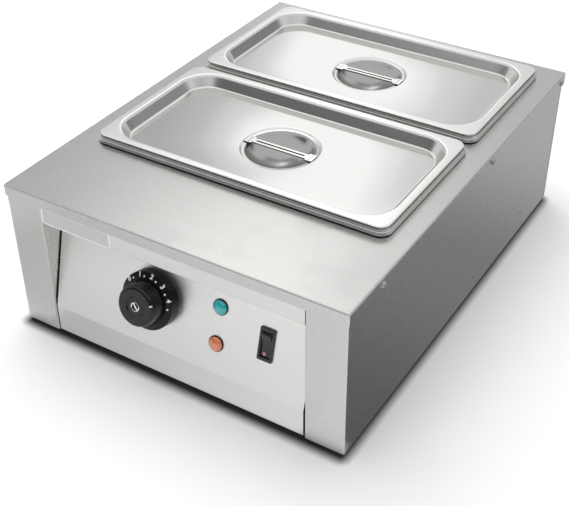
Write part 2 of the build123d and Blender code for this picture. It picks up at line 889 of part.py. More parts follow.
# Capillary tube with its bulb
with BuildPart() as capillary:
    with BuildLine(Plane.YZ.offset(dial_x)) as capillary_path:
        FilletPolyline(
            (capillary_from.Y, capillary_from.Z),
            (capillary_turn_y, capillary_turn_z),
            (capillary_turn_y, bulb_z),
            (bulb_front, bulb_z),
            radius=capillary_bend,
        )
    with BuildSketch(Plane(capillary_path.line @ 0, z_dir=capillary_path.line % 0)):
        Circle(capillary_radius)
    sweep()
    with BuildSketch(Plane.XZ.offset(-bulb_front)):
        with Locations((dial_x, bulb_z)):
            Circle(bulb_radius)
    extrude(amount=-bulb_length)
    fillet(capillary.faces().filter_by(Axis.Y)[-1].edges(), bulb_radius / 2)
capillary.part.label = "capillary"
export_step(capillary.part, "parts/capillary.step")

bulb_clip_depth = bulb_gap + 2 * bulb_radius + clip_gap
bulb_clip_places = [bulb_front + bulb_length * share for share in (1 / 4, 3 / 4)]
with BuildPart() as bulb_clips:
    for y in bulb_clip_places:
        under = Plane((dial_x, y, tank_under), x_dir=(1, 0, 0), z_dir=(0, 1, 0))
        add(
            hat_strip(
                under,
                bulb_radius + clip_gap,
                bulb_clip_depth,
                bulb_clip_foot,
                bulb_clip_sheet,
                bulb_clip_width,
            )
        )
bulb_clips.part.label = "bulb_clips"
export_step(bulb_clips.part, "parts/bulb_clips.step")

# Dial: a fixed moulded skirt with a sloping face, its floor held by the thermostat's screws
groove_inner = dial_well_radius + dial_wall
groove_outer = dial_radius - dial_wall
groove_height = dial_edge - dial_wall
with BuildPart() as dial_disc:
    with BuildSketch(turning_plane(dial_x, dial_up)):
        Polygon(
            (dial_bore_radius, 0),
            (groove_inner, 0),
            (groove_inner, groove_height),
            (groove_outer, groove_height),
            (groove_outer, 0),
            (dial_radius, 0),
            (dial_radius, dial_edge),
            (dial_flat_radius, dial_height),
            (dial_well_radius, dial_height),
            (dial_well_radius, dial_floor),
            (dial_bore_radius, dial_floor),
            align=None,
        )
    revolve(axis=outward_axis(dial_x, dial_up))
    with BuildSketch(on_panel(dial_x, dial_up)):
        with GridLocations(bracket_screw_spacing, 0, 2, 1):
            Circle(screw_radius + screw_gap)
    extrude(amount=dial_floor, mode=Mode.SUBTRACT)
dial_disc.part.label = "dial_disc"
export_step(dial_disc.part, "parts/dial_disc.step")

# Knob: a tapered body with a dished face, a hub, a hollow back and a groove for its pointer
knob_base = dial_height + knob_gap
knob_face = knob_height - knob_dish_depth
cap_base = knob_face - cap_seat
edge_centre = knob_radius - knob_edge_radius
edge_reach = (knob_edge_radius - pointer_depth) * cos(radians(45))
pointer_out = panel_plane.x_dir * cos(radians(pointer_angle))
pointer_out = pointer_out + panel_plane.y_dir * sin(radians(pointer_angle))
pointer_seat = on_panel(dial_x, dial_up, knob_height - knob_edge_radius + edge_reach).origin
pointer_plane = Plane(
    pointer_seat + pointer_out * (edge_centre + edge_reach),
    x_dir=pointer_out - panel_plane.z_dir,
    z_dir=pointer_out + panel_plane.z_dir,
)
with BuildPart() as knob:
    with BuildSketch(turning_plane(dial_x, dial_up)) as knob_section:
        Polygon(
            (shaft_radius + shaft_gap, knob_base),
            (knob_hub_radius, knob_base),
            (knob_hub_radius, knob_base + knob_hollow_depth),
            (knob_hollow_radius, knob_base + knob_hollow_depth),
            (knob_hollow_radius, knob_base),
            (knob_base_radius, knob_base),
            (knob_radius, knob_height),
            (knob_dish_radius, knob_height),
            (knob_dish_radius - knob_dish_depth, knob_face),
            (cap_radius + cap_gap, knob_face),
            (cap_radius + cap_gap, cap_base),
            (0, cap_base),
            (0, shaft_reach + cap_gap),
            (shaft_radius + shaft_gap, shaft_reach + cap_gap),
            align=None,
        )
    revolve(axis=outward_axis(dial_x, dial_up))
    rim = knob.faces().sort_by(outward_axis(dial_x, dial_up))[-1]
    fillet(rim.outer_wire().edges(), knob_edge_radius)
    with BuildSketch(pointer_plane):
        Rectangle(pointer_length, pointer_width)
    extrude(amount=pointer_length, mode=Mode.SUBTRACT)
knob.part.label = "knob"
export_step(knob.part, "parts/knob.step")

with BuildPart() as knob_cap:
    with BuildSketch(on_panel(dial_x, dial_up, cap_base)):
        Circle(cap_radius)
    extrude(amount=cap_seat + cap_rise)
    chamfer(knob_cap.faces().sort_by(outward_axis(dial_x, dial_up))[-1].edges(), cap_slot_depth)
    with BuildSketch(on_panel(dial_x, dial_up, knob_face + cap_rise)):
        Rectangle(2 * cap_radius, cap_slot_width)
    extrude(amount=-cap_slot_depth, mode=Mode.SUBTRACT)
knob_cap.part.label = "knob_cap"
export_step(knob_cap.part, "parts/knob_cap.step")


def lamp_lens(x, up):
    """A domed coloured lens with a spigot that plugs into its holder."""
    dome_top = lamp_bezel_height + lens_edge + lens_dome
    dome_base = lamp_bezel_height + lens_edge
    reach = (lens_radius**2 + lens_dome**2) / (2 * lens_dome)
    with BuildPart(mode=Mode.PRIVATE) as lens:
        with BuildSketch(turning_plane(x, up)):
            with BuildLine():
                Polyline(
                    (0, dome_top),
                    (0, lamp_bezel_height - lens_spigot_length),
                    (lamp_socket_radius - cap_gap, lamp_bezel_height - lens_spigot_length),
                    (lamp_socket_radius - cap_gap, lamp_bezel_height),
                    (lens_radius, lamp_bezel_height),
                    (lens_radius, dome_base),
                )
                RadiusArc((lens_radius, dome_base), (0, dome_top), -reach)
            make_face()
        revolve(axis=outward_axis(x, up))
    return lens.part


def lamp_holder(x, up):
    """A thin bezel ring on a round body that passes through the panel, with two tabs."""
    with BuildPart(mode=Mode.PRIVATE) as holder:
        with BuildSketch(on_panel(x, up)):
            Circle(lamp_bezel_radius)
        extrude(amount=lamp_bezel_height)
        with BuildSketch(on_panel(x, up)):
            Circle(lamp_body_radius)
        extrude(amount=-lamp_body_length)
        with BuildSketch(on_panel(x, up, lamp_bezel_height)):
            Circle(lamp_socket_radius)
        extrude(amount=-lamp_socket_depth, mode=Mode.SUBTRACT)
        with BuildSketch(on_panel(x, up, -lamp_body_length)):
            with GridLocations(lamp_tab_spacing, 0, 2, 1):
                Rectangle(lamp_tab_sheet, lamp_tab_width)
        extrude(amount=-lamp_tab_length)
    return holder.part


# Indicator lamps: teal above and orange below, each a lens in a holder
lamp_ups = {"teal": lamp_up + lamp_spacing / 2, "orange": lamp_up - lamp_spacing / 2}
with BuildPart() as lamp_lens_teal:
    add(lamp_lens(lamp_x, lamp_ups["teal"]))
lamp_lens_teal.part.label = "lamp_lens_teal"
export_step(lamp_lens_teal.part, "parts/lamp_lens_teal.step")

with BuildPart() as lamp_lens_orange:
    add(lamp_lens(lamp_x, lamp_ups["orange"]))
lamp_lens_orange.part.label = "lamp_lens_orange"
export_step(lamp_lens_orange.part, "parts/lamp_lens_orange.step")

with BuildPart() as lamp_holder_teal:
    add(lamp_holder(lamp_x, lamp_ups["teal"]))
lamp_holder_teal.part.label = "lamp_holder_teal"
export_step(lamp_holder_teal.part, "parts/lamp_holder_teal.step")

with BuildPart() as lamp_holder_orange:
    add(lamp_holder(lamp_x, lamp_ups["orange"]))
lamp_holder_orange.part.label = "lamp_holder_orange"
export_step(lamp_holder_orange.part, "parts/lamp_holder_orange.step")

with BuildPart() as lamp_nuts:
    for up in lamp_ups.values():
        back = on_panel(lamp_x, up, -body_sheet)
        seat = Plane(back.origin, x_dir=back.x_dir, z_dir=-back.z_dir)
        add(hex_nut(seat, lamp_nut_flats, lamp_nut_height, lamp_body_radius + lamp_gap))
lamp_nuts.part.label = "lamp_nuts"
export_step(lamp_nuts.part, "parts/lamp_nuts.step")

# Switch housing: bezel, body through the panel, well with pivot holes, and blades
well_width = rocker_width + 2 * rocker_gap
well_length = 2 * (rocker_end_radius + rocker_gap)
pivot = panel_plane.from_local_coords((switch_x, switch_up, -rocker_pivot_depth))
pivot_plane = Plane(pivot, x_dir=panel_plane.y_dir, z_dir=(1, 0, 0))
with BuildPart() as switch_housing:
    with BuildSketch(on_panel(switch_x, switch_up)):
        RectangleRounded(bezel_width, bezel_length, bezel_corner)
    extrude(amount=bezel_height)
    fillet(
        switch_housing.faces().sort_by(outward_axis(switch_x, switch_up))[-1].edges(),
        bezel_corner / 2,
    )
    with BuildSketch(on_panel(switch_x, switch_up)):
        Rectangle(switch_body_width, switch_body_length)
    extrude(amount=-switch_body_depth)
    with BuildSketch(on_panel(switch_x, switch_up, bezel_height)):
        Rectangle(well_width, well_length)
    extrude(amount=-bezel_height - switch_well_depth, mode=Mode.SUBTRACT)
    with BuildSketch(pivot_plane):
        Circle(rocker_pin_radius + rocker_pin_gap)
    extrude(amount=rocker_width / 2 + rocker_pin_length + rocker_pin_gap, both=True, mode=Mode.SUBTRACT)
    with BuildSketch(on_panel(switch_x, switch_up, -switch_body_depth)):
        with GridLocations(blade_width, switch_body_length / 2, 2, 2):
            Rectangle(blade_sheet, blade_width)
    extrude(amount=-blade_length)
switch_housing.part.label = "switch_housing"
export_step(switch_housing.part, "parts/switch_housing.step")

# Rocker: a dished lever on two pins, standing with its lower end pressed
tilt = radians(rocker_tilt)
rocker_plane = Plane(
    pivot,
    x_dir=panel_plane.y_dir * cos(tilt) + panel_plane.z_dir * sin(tilt),
    z_dir=(1, 0, 0),
)
tip = sqrt(rocker_end_radius**2 - rocker_rise**2)
skirt = sqrt(rocker_end_radius**2 - rocker_skirt**2)
heel = rocker_heel_length / 2
with BuildPart() as rocker:
    with BuildSketch(rocker_plane.offset(-rocker_width / 2)):
        with BuildLine():
            ThreePointArc((-tip, rocker_rise), (0, rocker_rise - rocker_dip), (tip, rocker_rise))
            ThreePointArc((tip, rocker_rise), (rocker_end_radius, 0), (skirt, -rocker_skirt))
            Polyline(
                (skirt, -rocker_skirt),
                (heel, -rocker_heel),
                (-heel, -rocker_heel),
                (-skirt, -rocker_skirt),
            )
            ThreePointArc((-skirt, -rocker_skirt), (-rocker_end_radius, 0), (-tip, rocker_rise))
        make_face()
    extrude(amount=rocker_width)
    fillet(
        rocker.edges().filter_by(Axis.X).sort_by(Axis(pivot, rocker_plane.y_dir))[-2:],
        rocker_edge_radius,
    )
    with BuildSketch(rocker_plane):
        Circle(rocker_pin_radius)
    extrude(amount=rocker_width / 2 + rocker_pin_length, both=True)
rocker.part.label = "rocker"
export_step(rocker.part, "parts/rocker.step")

# Terminal block and earth stud: where the supply cord ends, on the bottom plate
terminal_y = bay_middle
terminal_length = terminal_ways * terminal_pitch + terminal_wall
with BuildPart() as terminal_block:
    with BuildSketch(Plane.XY.offset(tray_top)):
        with Locations((terminal_x, terminal_y)):
            Rectangle(terminal_length, terminal_depth)
    extrude(amount=terminal_base_height)
    with BuildSketch(Plane.XY.offset(tray_top)):
        with Locations((terminal_x, terminal_y)):
            with GridLocations(terminal_pitch, 0, terminal_ways + 1, 1):
                Rectangle(terminal_wall, terminal_depth)
    extrude(amount=terminal_wall_height)
terminal_block.part.label = "terminal_block"
export_step(terminal_block.part, "parts/terminal_block.step")

with BuildPart() as terminal_screws:
    with BuildSketch(Plane.XY.offset(tray_top + terminal_base_height)):
        with Locations((terminal_x, terminal_y)):
            with GridLocations(terminal_pitch, terminal_screw_spacing, terminal_ways, 2):
                Circle(terminal_screw_radius)
    extrude(amount=terminal_screw_height)
terminal_screws.part.label = "terminal_screws"
export_step(terminal_screws.part, "parts/terminal_screws.step")

with BuildPart() as earth_stud:
    with BuildSketch(Plane.XY.offset(tray_z)):
        with Locations((earth_x, bay_middle)):
            Circle(screw_radius)
    extrude(amount=earth_length)
earth_stud.part.label = "earth_stud"
export_step(earth_stud.part, "parts/earth_stud.step")

with BuildPart() as earth_nut:
    seat = Plane((earth_x, bay_middle, tray_top))
    add(hex_nut(seat, earth_flats, earth_nut_height, screw_radius + screw_gap))
earth_nut.part.label = "earth_nut"
export_step(earth_nut.part, "parts/earth_nut.step")

# Cable gland: threaded barrel through the rear panel, hexagon and domed cap outside
entry_seat = Plane((entry_x, back_panel_rear, bottom + entry_height), z_dir=(0, 1, 0))
entry_barrel = body_sheet + entry_thread_length
with BuildPart() as cable_gland:
    with BuildSketch(entry_seat):
        RegularPolygon(hexagon_radius(entry_hex_flats), 6)
    extrude(amount=entry_hex_height)
    with BuildSketch(entry_seat.offset(entry_hex_height)):
        Circle(entry_dome_radius)
    extrude(amount=entry_dome_length)
    fillet(cable_gland.faces().sort_by(Axis.Y)[-1].edges(), entry_dome_radius / 3)
    with BuildSketch(entry_seat):
        Circle(entry_thread_radius)
    extrude(amount=-entry_barrel)
    with BuildSketch(entry_seat.offset(entry_hex_height + entry_dome_length)):
        Circle(entry_bore_radius)
    extrude(amount=-entry_hex_height - entry_dome_length - entry_barrel, mode=Mode.SUBTRACT)
cable_gland.part.label = "cable_gland"
export_step(cable_gland.part, "parts/cable_gland.step")

with BuildPart() as gland_nut:
    seat = Plane((entry_x, back_panel_front, bottom + entry_height), z_dir=(0, -1, 0))
    add(hex_nut(seat, entry_nut_flats, entry_nut_height, entry_thread_radius + gland_gap))
gland_nut.part.label = "gland_nut"
export_step(gland_nut.part, "parts/gland_nut.step")


def food_pan(y):
    """A deep-drawn pan whose turned-down rim rests on the top plate."""
    slope = cos(radians(pan_taper))
    mouth = Plane((0, y, rim_top), x_dir=(1, 0, 0), z_dir=(0, 0, -1))
    with BuildPart(mode=Mode.PRIVATE) as pan:
        with BuildSketch(Plane((0, y, deck))):
            RectangleRounded(rim_length, rim_width, rim_corner)
        extrude(amount=rim_height)
        fillet(pan.faces().sort_by(Axis.Z)[-1].edges(), rim_edge_radius)
        offset(amount=-pan_sheet, openings=pan.faces().sort_by(Axis.Z)[0])
        add(
            drawn_form(
                mouth, mouth_length, mouth_width, mouth_corner, pan_depth, pan_taper, pan_foot_radius
            )
        )
        add(
            drawn_form(
                mouth,
                mouth_length - 2 * pan_sheet / slope,
                mouth_width - 2 * pan_sheet / slope,
                mouth_corner - pan_sheet,
                pan_depth - pan_sheet,
                pan_taper,
                pan_foot_radius - pan_sheet,
            ),
            mode=Mode.SUBTRACT,
        )
    return pan.part


# Food pans: two alike, hung by their rims in the top plate's cut-outs
with BuildPart() as pan_front:
    add(food_pan(front_pan_y))
pan_front.part.label = "pan_front"
export_step(pan_front.part, "parts/pan_front.step")

with BuildPart() as pan_rear:
    add(food_pan(rear_pan_y))
pan_rear.part.label = "pan_rear"
export_step(pan_rear.part, "parts/pan_rear.step")

# Bowl geometry: a shallow ring step with a spherical bowl inside it
step_z = recess_floor - bowl_step
bowl_below_step = bowl_depth - bowl_step
sphere_radius = (bowl_radius**2 + bowl_below_step**2) / (2 * bowl_below_step)
sphere_z = step_z - bowl_below_step + sphere_radius


def bowl_form(y, grow):
    """The stepped round block that fills the finger bowl, grown by a sheet thickness."""
    ledge_z = step_z - grow
    ball_radius = sphere_radius + grow
    ledge_radius = sqrt(ball_radius**2 - (sphere_z - ledge_z) ** 2)
    with BuildPart(mode=Mode.PRIVATE) as form:
        with BuildSketch(Plane((0, y, 0), x_dir=(1, 0, 0), z_dir=(0, -1, 0))):
            with BuildLine():
                Polyline(
                    (0, sphere_z - ball_radius),
                    (0, recess_floor),
                    (bowl_step_radius + grow, recess_floor),
                    (bowl_step_radius + grow, ledge_z),
                    (ledge_radius, ledge_z),
                )
                RadiusArc((ledge_radius, ledge_z), (0, sphere_z - ball_radius), ball_radius)
            make_face()
        revolve(axis=Axis((0, y, 0), (0, 0, 1)))
    return form.part


def pan_lid(y):
    """A drawn lid: leaning skirt, flat border, dished recess and round finger bowl."""
    skirt = cos(radians(lid_skirt_lean))
    wall = cos(radians(recess_taper))
    skirt_length = rim_length - 2 * lid_inset
    skirt_width = rim_width - 2 * lid_inset
    seat = Plane((0, y, rim_top))
    seat_z = lid_top - lid_sheet
    reach = 2 * lid_sheet / wall
    top = Plane((0, y, lid_top), x_dir=(1, 0, 0), z_dir=(0, 0, -1))
    with BuildPart(mode=Mode.PRIVATE) as lid:
        add(
            drawn_form(
                seat,
                skirt_length,
                skirt_width,
                rim_corner,
                lid_skirt_height,
                lid_skirt_lean,
                lid_edge_radius,
            )
        )
        add(
            drawn_form(
                seat,
                skirt_length - 2 * lid_sheet / skirt,
                skirt_width - 2 * lid_sheet / skirt,
                rim_corner - lid_sheet,
                lid_skirt_height - lid_sheet,
                lid_skirt_lean,
                lid_edge_radius - lid_sheet,
            ),
            mode=Mode.SUBTRACT,
        )
        add(
            drawn_form(
                top,
                recess_length + 2 * lid_sheet / wall,
                recess_width + 2 * lid_sheet / wall,
                recess_corner + lid_sheet,
                recess_depth + lid_sheet,
                recess_taper,
                recess_foot_radius + lid_sheet,
            )
        )
        fillet(
            lid.edges()
            .filter_by_position(Axis.Z, seat_z, seat_z)
            .filter_by_position(Axis.X, -recess_length / 2 - reach, recess_length / 2 + reach)
            .filter_by_position(Axis.Y, y - recess_width / 2 - reach, y + recess_width / 2 + reach),
            recess_lip_radius - lid_sheet,
        )
        add(bowl_form(y, lid_sheet))
        add(
            drawn_form(
                top,
                recess_length,
                recess_width,
                recess_corner,
                recess_depth,
                recess_taper,
                recess_foot_radius,
            ),
            mode=Mode.SUBTRACT,
        )
        add(bowl_form(y, 0), mode=Mode.SUBTRACT)
        border = lid.faces().sort_by(Axis.Z)[-1]
        fillet(border.inner_wires().edges(), recess_lip_radius)
    return lid.part


# Lids: two alike, each standing by its skirt on a pan's rim
with BuildPart() as lid_front:
    add(pan_lid(front_pan_y))
lid_front.part.label = "lid_front"
export_step(lid_front.part, "parts/lid_front.step")

with BuildPart() as lid_rear:
    add(pan_lid(rear_pan_y))
lid_rear.part.label = "lid_rear"
export_step(lid_rear.part, "parts/lid_rear.step")

# Strap geometry: the ears lie on the bowl's ring step, clear of its round wall
ear_reach = sqrt(bowl_step_radius**2 - (strap_ear_width / 2) ** 2) - strap_gap
ear_x = ear_reach - strap_ear_length / 2


def strap_handle(y):
    """A grooved strap with wide ears that are spot-welded to the bowl's ring step."""
    top = step_z + strap_sheet
    weld_sites = [
        (side * ear_x, row * weld_spacing) for side in (-1, 1) for row in (-1, 0, 1)
    ]
    with BuildPart(mode=Mode.PRIVATE) as strap:
        with BuildSketch(Plane((0, y, step_z))):
            Rectangle(2 * ear_reach, strap_width)
            with Locations((-ear_x, 0), (ear_x, 0)):
                RectangleRounded(strap_ear_length, strap_ear_width, strap_sheet)
        extrude(amount=strap_sheet)
        with BuildSketch(Plane((0, y, step_z))):
            Rectangle(strap_groove_length + strap_rib_width, strap_rib_width)
        extrude(amount=-strap_rib_depth)
        with BuildSketch(Plane((0, y, top))):
            SlotOverall(strap_groove_length, strap_groove_width)
        extrude(amount=-strap_groove_depth, mode=Mode.SUBTRACT)
        with BuildSketch(Plane((0, y, top))):
            with Locations(*weld_sites):
                Circle(weld_radius)
        extrude(amount=-weld_depth, mode=Mode.SUBTRACT)
    return strap.part


# Lid handles: one strap across each finger bowl
with BuildPart() as handle_front:
    add(strap_handle(front_pan_y))
handle_front.part.label = "handle_front"
export_step(handle_front.part, "parts/handle_front.step")

with BuildPart() as handle_rear:
    add(strap_handle(rear_pan_y))
handle_rear.part.label = "handle_rear"
export_step(handle_rear.part, "parts/handle_rear.step")
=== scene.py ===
from math import cos, pi, radians, sin, sqrt, tan

import bmesh
import bpy
from mathutils import Matrix, Vector


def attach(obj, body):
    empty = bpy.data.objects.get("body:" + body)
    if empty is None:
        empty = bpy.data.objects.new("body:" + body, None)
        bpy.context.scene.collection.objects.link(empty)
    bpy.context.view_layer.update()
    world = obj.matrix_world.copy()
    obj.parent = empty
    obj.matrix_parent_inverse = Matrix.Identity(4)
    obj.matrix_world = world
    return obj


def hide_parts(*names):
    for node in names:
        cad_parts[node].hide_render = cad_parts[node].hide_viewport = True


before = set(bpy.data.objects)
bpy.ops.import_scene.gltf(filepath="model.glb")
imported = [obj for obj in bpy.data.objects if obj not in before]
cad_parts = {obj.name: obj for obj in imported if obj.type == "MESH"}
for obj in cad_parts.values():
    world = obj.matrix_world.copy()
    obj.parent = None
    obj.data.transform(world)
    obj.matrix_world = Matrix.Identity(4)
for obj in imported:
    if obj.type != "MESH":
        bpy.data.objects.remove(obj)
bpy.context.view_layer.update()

# Studio floor
# A sheet of matt white paper. Shadows stay on it, and its own faint glow lifts the lit part
# to plain white for the eye and for what the polished steel mirrors.
MM = 0.001


def linear(hex_colour):
    """An sRGB hex colour as the linear colour that a shader takes."""
    values = [int(hex_colour[start:start + 2], 16) / 255 for start in (1, 3, 5)]
    return tuple(
        value / 12.92 if value <= 0.04045 else ((value + 0.055) / 1.055) ** 2.4 for value in values
    ) + (1.0,)


def add_node(tree, kind, inputs=None, **settings):
    """Adds one node with its settings, and sets or links each input that is named."""
    node = tree.nodes.new(kind)
    for name, value in settings.items():
        setattr(node, name, value)
    for name, value in (inputs or {}).items():
        if isinstance(value, bpy.types.NodeSocket):
            tree.links.new(value, node.inputs[name])
        else:
            node.inputs[name].default_value = value
    return node


def new_finish(name):
    """A new material, its node tree, and the place on the piece that the tree can ask for."""
    finish = bpy.data.materials.new(name)
    finish.use_nodes = True
    tree = finish.node_tree
    tree.nodes.clear()
    return finish, tree, add_node(tree, "ShaderNodeTexCoord").outputs["Object"]


def new_piece(name, mesh, finish):
    """A new object made from a finished mesh, wearing one finish."""
    piece = bpy.data.objects.new(name, mesh)
    bpy.context.scene.collection.objects.link(piece)
    mesh.materials.append(finish)
    return piece


def sheet_mesh(name, corners):
    """A flat mesh with one face."""
    mesh = bpy.data.meshes.new(name)
    mesh.from_pydata(corners, [], [tuple(range(len(corners)))])
    return mesh


def looking_rays(tree):
    """1 for the rays of the eye and for those that a mirror or a lens sends on, else 0."""
    light_path = add_node(tree, "ShaderNodeLightPath")
    looking = light_path.outputs["Is Camera Ray"]
    for kind in ("Is Glossy Ray", "Is Transmission Ray"):
        looking = add_node(
            tree, "ShaderNodeMath", {0: looking, 1: light_path.outputs[kind]},
            operation="ADD", use_clamp=True,
        ).outputs[0]
    return looking


white_paper, tree, spot = new_finish("matt_white_paper")
paper_glow = 0.08
lift = add_node(
    tree, "ShaderNodeMath", {0: looking_rays(tree), 1: paper_glow}, operation="MULTIPLY"
)
# A painted shadow: close round the body's footprint the paper is painted dark, as shade where
# hardly any light gets under.
footprint_shift, footprint_half, painted_shadow_reach = (0.0, 0.003, 0.0), (0.180, 0.239, 0.0), 15 * MM
shifted = add_node(tree, "ShaderNodeVectorMath", {0: spot, 1: footprint_shift}, operation="ADD")
past_edge = add_node(tree, "ShaderNodeVectorMath", {0: shifted.outputs[0]}, operation="ABSOLUTE")
past_edge = add_node(
    tree, "ShaderNodeVectorMath",
    {0: past_edge.outputs[0], 1: footprint_half}, operation="SUBTRACT",
)
past_edge = add_node(
    tree, "ShaderNodeVectorMath", {0: past_edge.outputs[0], 1: (0, 0, 0)}, operation="MAXIMUM"
)
distance = add_node(tree, "ShaderNodeVectorMath", {0: past_edge.outputs[0]}, operation="LENGTH")
clear_of_painted_shadow = add_node(
    tree, "ShaderNodeMapRange",
    {"Value": distance.outputs["Value"], "From Max": painted_shadow_reach},
    interpolation_type="SMOOTHSTEP",
)
# Painted shadow: the paper's colour runs from dark grey at the footprint to white clear of it.
shade = add_node(
    tree, "ShaderNodeMix",
    {0: clear_of_painted_shadow.outputs[0], 6: linear("#3C3C3C"), 7: linear("#FAFAFA")}, data_type="RGBA",
)
lift = add_node(
    tree, "ShaderNodeMath", {0: lift.outputs[0], 1: clear_of_painted_shadow.outputs[0]}, operation="MULTIPLY"
)
paper = add_node(tree, "ShaderNodeBsdfDiffuse", {"Color": shade.outputs[2]})
glow = add_node(tree, "ShaderNodeEmission", {"Strength": lift.outputs[0]})
both = add_node(tree, "ShaderNodeAddShader", {0: paper.outputs[0], 1: glow.outputs[0]})
add_node(tree, "ShaderNodeOutputMaterial", {"Surface": both.outputs[0]})

floor_reach = 4.0
floor = new_piece(
    "studio_floor",
    sheet_mesh("studio_floor", [(x, y, 0) for x, y in (
        (-floor_reach, -floor_reach), (floor_reach, -floor_reach),
        (floor_reach, floor_reach), (-floor_reach, floor_reach),
    )]),
    white_paper,
)

# Studio light
# Even white surroundings, a large soft box above left and a weak fill from the front.
# Cards that only mirrored rays see give the steel its light and dark bands.
world = bpy.data.worlds.new("white_room")
bpy.context.scene.world = world
world.use_nodes = True
tree = world.node_tree
tree.nodes.clear()
# The room lights things less than it shows in the mirroring steel.
room_light = add_node(
    tree, "ShaderNodeMapRange", {"Value": looking_rays(tree), "To Min": 0.62, "To Max": 1.0}
)
room = add_node(
    tree, "ShaderNodeBackground", {"Color": (1, 1, 1, 1), "Strength": room_light.outputs[0]}
)
add_node(tree, "ShaderNodeOutputWorld", {"Surface": room.outputs[0]})


def soft_box(name, place, aim, size, power):
    """A square soft lamp that points at a place."""
    lamp = bpy.data.lights.new(name, "AREA")
    lamp.size = size
    lamp.energy = power
    holder = bpy.data.objects.new(name, lamp)
    holder.location = place
    holder.rotation_euler = (Vector(aim) - Vector(place)).to_track_quat("-Z", "Y").to_euler()
    holder.visible_glossy = False
    bpy.context.scene.collection.objects.link(holder)


soft_box("overhead_box", (-0.5, 0.3, 1.8), (0, 0, 0.1), 1.6, 22.0)
soft_box("front_fill", (-0.5, -1.6, 0.3), (0, 0, 0.1), 0.5, 3.0)


def facing(azimuth, elevation, distance):
    """The placing matrix of a card that stands round the object and faces it."""
    away = Vector((
        cos(radians(azimuth)) * cos(radians(elevation)),
        sin(radians(azimuth)) * cos(radians(elevation)),
        sin(radians(elevation)),
    ))
    turn = (-away).to_track_quat("Z", "Y").to_matrix().to_4x4()
    return Matrix.Translation(away * distance) @ turn


def studio_card(name, place, width, height, tones, strength, soft_side, soft_top):
    """A soft-edged card that only mirrored rays see. Its tones run along its width."""
    card, tree, spot = new_finish(name + "_card")
    spot = add_node(tree, "ShaderNodeSeparateXYZ", {0: spot})
    fades = []
    for axis, half, soft in (("X", width / 2, soft_side), ("Y", height / 2, soft_top)):
        reach = add_node(tree, "ShaderNodeMath", {0: spot.outputs[axis]}, operation="ABSOLUTE")
        fades.append(add_node(
            tree, "ShaderNodeMapRange",
            {"Value": reach.outputs[0], "From Min": half * (1 - soft), "From Max": half,
             "To Min": 1.0, "To Max": 0.0},
            interpolation_type="SMOOTHSTEP",
        ))
    cover = add_node(
        tree, "ShaderNodeMath",
        {0: fades[0].outputs[0], 1: fades[1].outputs[0]}, operation="MULTIPLY",
    )
    along = add_node(
        tree, "ShaderNodeMapRange",
        {"Value": spot.outputs["X"], "From Min": -width / 2, "From Max": width / 2},
    )
    ramp = add_node(tree, "ShaderNodeValToRGB", {"Fac": along.outputs[0]})
    ramp.color_ramp.interpolation = "EASE"
    for number, (stop, tone) in enumerate(tones):
        if number < 2:
            element = ramp.color_ramp.elements[number]
            element.position = stop
        else:
            element = ramp.color_ramp.elements.new(stop)
        element.color = (tone, tone, tone, 1.0)
    lit = add_node(tree, "ShaderNodeEmission", {"Color": ramp.outputs[0], "Strength": strength})
    clear = add_node(tree, "ShaderNodeBsdfTransparent")
    shown = add_node(
        tree, "ShaderNodeMixShader", {0: cover.outputs[0], 1: clear.outputs[0], 2: lit.outputs[0]}
    )
    add_node(tree, "ShaderNodeOutputMaterial", {"Surface": shown.outputs[0]})
    corners = [
        (x * width / 2, y * height / 2, 0) for x, y in ((-1, -1), (1, -1), (1, 1), (-1, 1))
    ]
    piece = new_piece(name, sheet_mesh(name, corners), card)
    piece.matrix_world = place
    piece.visible_camera = False
    piece.visible_diffuse = False
    piece.visible_transmission = False
    piece.visible_shadow = False


studio_card(
    "rear_left_wall", facing(119, 28, 6.0) @ Matrix.Rotation(radians(15), 4, "Z"), 7.0, 7.0,
    [(0.0, 0.4), (1.0, 0.5), (0.36, 0.42), (0.41, 0.5), (0.44, 0.66), (0.478, 0.98),
     (0.54, 0.98), (0.565, 0.84), (0.59, 0.68), (0.64, 0.56)],
    1.22, 0.1, 0.1,
)
studio_card(
    "rear_left_top", facing(126, 42, 5.6), 3.8, 1.2,
    [(0.0, 0.3), (1.0, 0.4), (0.2, 0.38), (0.38, 1.0), (0.55, 1.0), (0.75, 0.55)], 2.1, 0.2, 0.3,
)
studio_card(
    "rear_dark_strip", facing(120, 57, 5.4), 6.0, 0.7, [(0.0, 0.4), (1.0, 0.4)], 1.0, 0.1, 0.3
)
studio_card(
    "front_black_wall", facing(245, 22, 6.0), 10.4, 4.0,
    [(0.0, 0.3), (1.0, 0.16), (0.3, 0.12)], 1.0, 0.12, 0.2,
)
studio_card(
    "front_right_wall", facing(320, 20, 5.6), 9.0, 3.8,
    [(0.0, 0.16), (1.0, 0.3), (0.5, 0.2)], 1.0, 0.12, 0.2,
)
studio_card(
    "rear_right_wall", facing(40, 12, 6.0), 6.6, 3.2, [(0.0, 0.2), (1.0, 0.4)], 1.0, 0.15, 0.25
)
quarter_turn = Matrix.Rotation(radians(90), 4, "Z")
studio_card(
    "floor_card_right", Matrix.Translation((0.35, 0.375, 0.0015)) @ quarter_turn, 1.22, 0.5,
    [(0.0, 0.13), (1.0, 0.62), (0.25, 0.26), (0.5, 0.56)], 1.0, 0.02, 0.1,
)
studio_card(
    "floor_card_front", Matrix.Translation((-0.15, -0.36, 0.001)), 1.1, 0.26,
    [(0.0, 0.55), (1.0, 1.0)], 1.0, 0.3, 0.35,
)
studio_card(
    "floor_card_rail", Matrix.Translation((-0.012, -0.268, 0.0013)), 0.31, 0.056,
    [(0.0, 0.55), (1.0, 0.85)], 1.0, 0.08, 0.3,
)
studio_card(
    "floor_card_left", Matrix.Translation((-0.86, -0.75, 0.001)), 1.1, 1.2,
    [(0.0, 0.45), (1.0, 0.45)], 1.0, 0.4, 0.25,
)

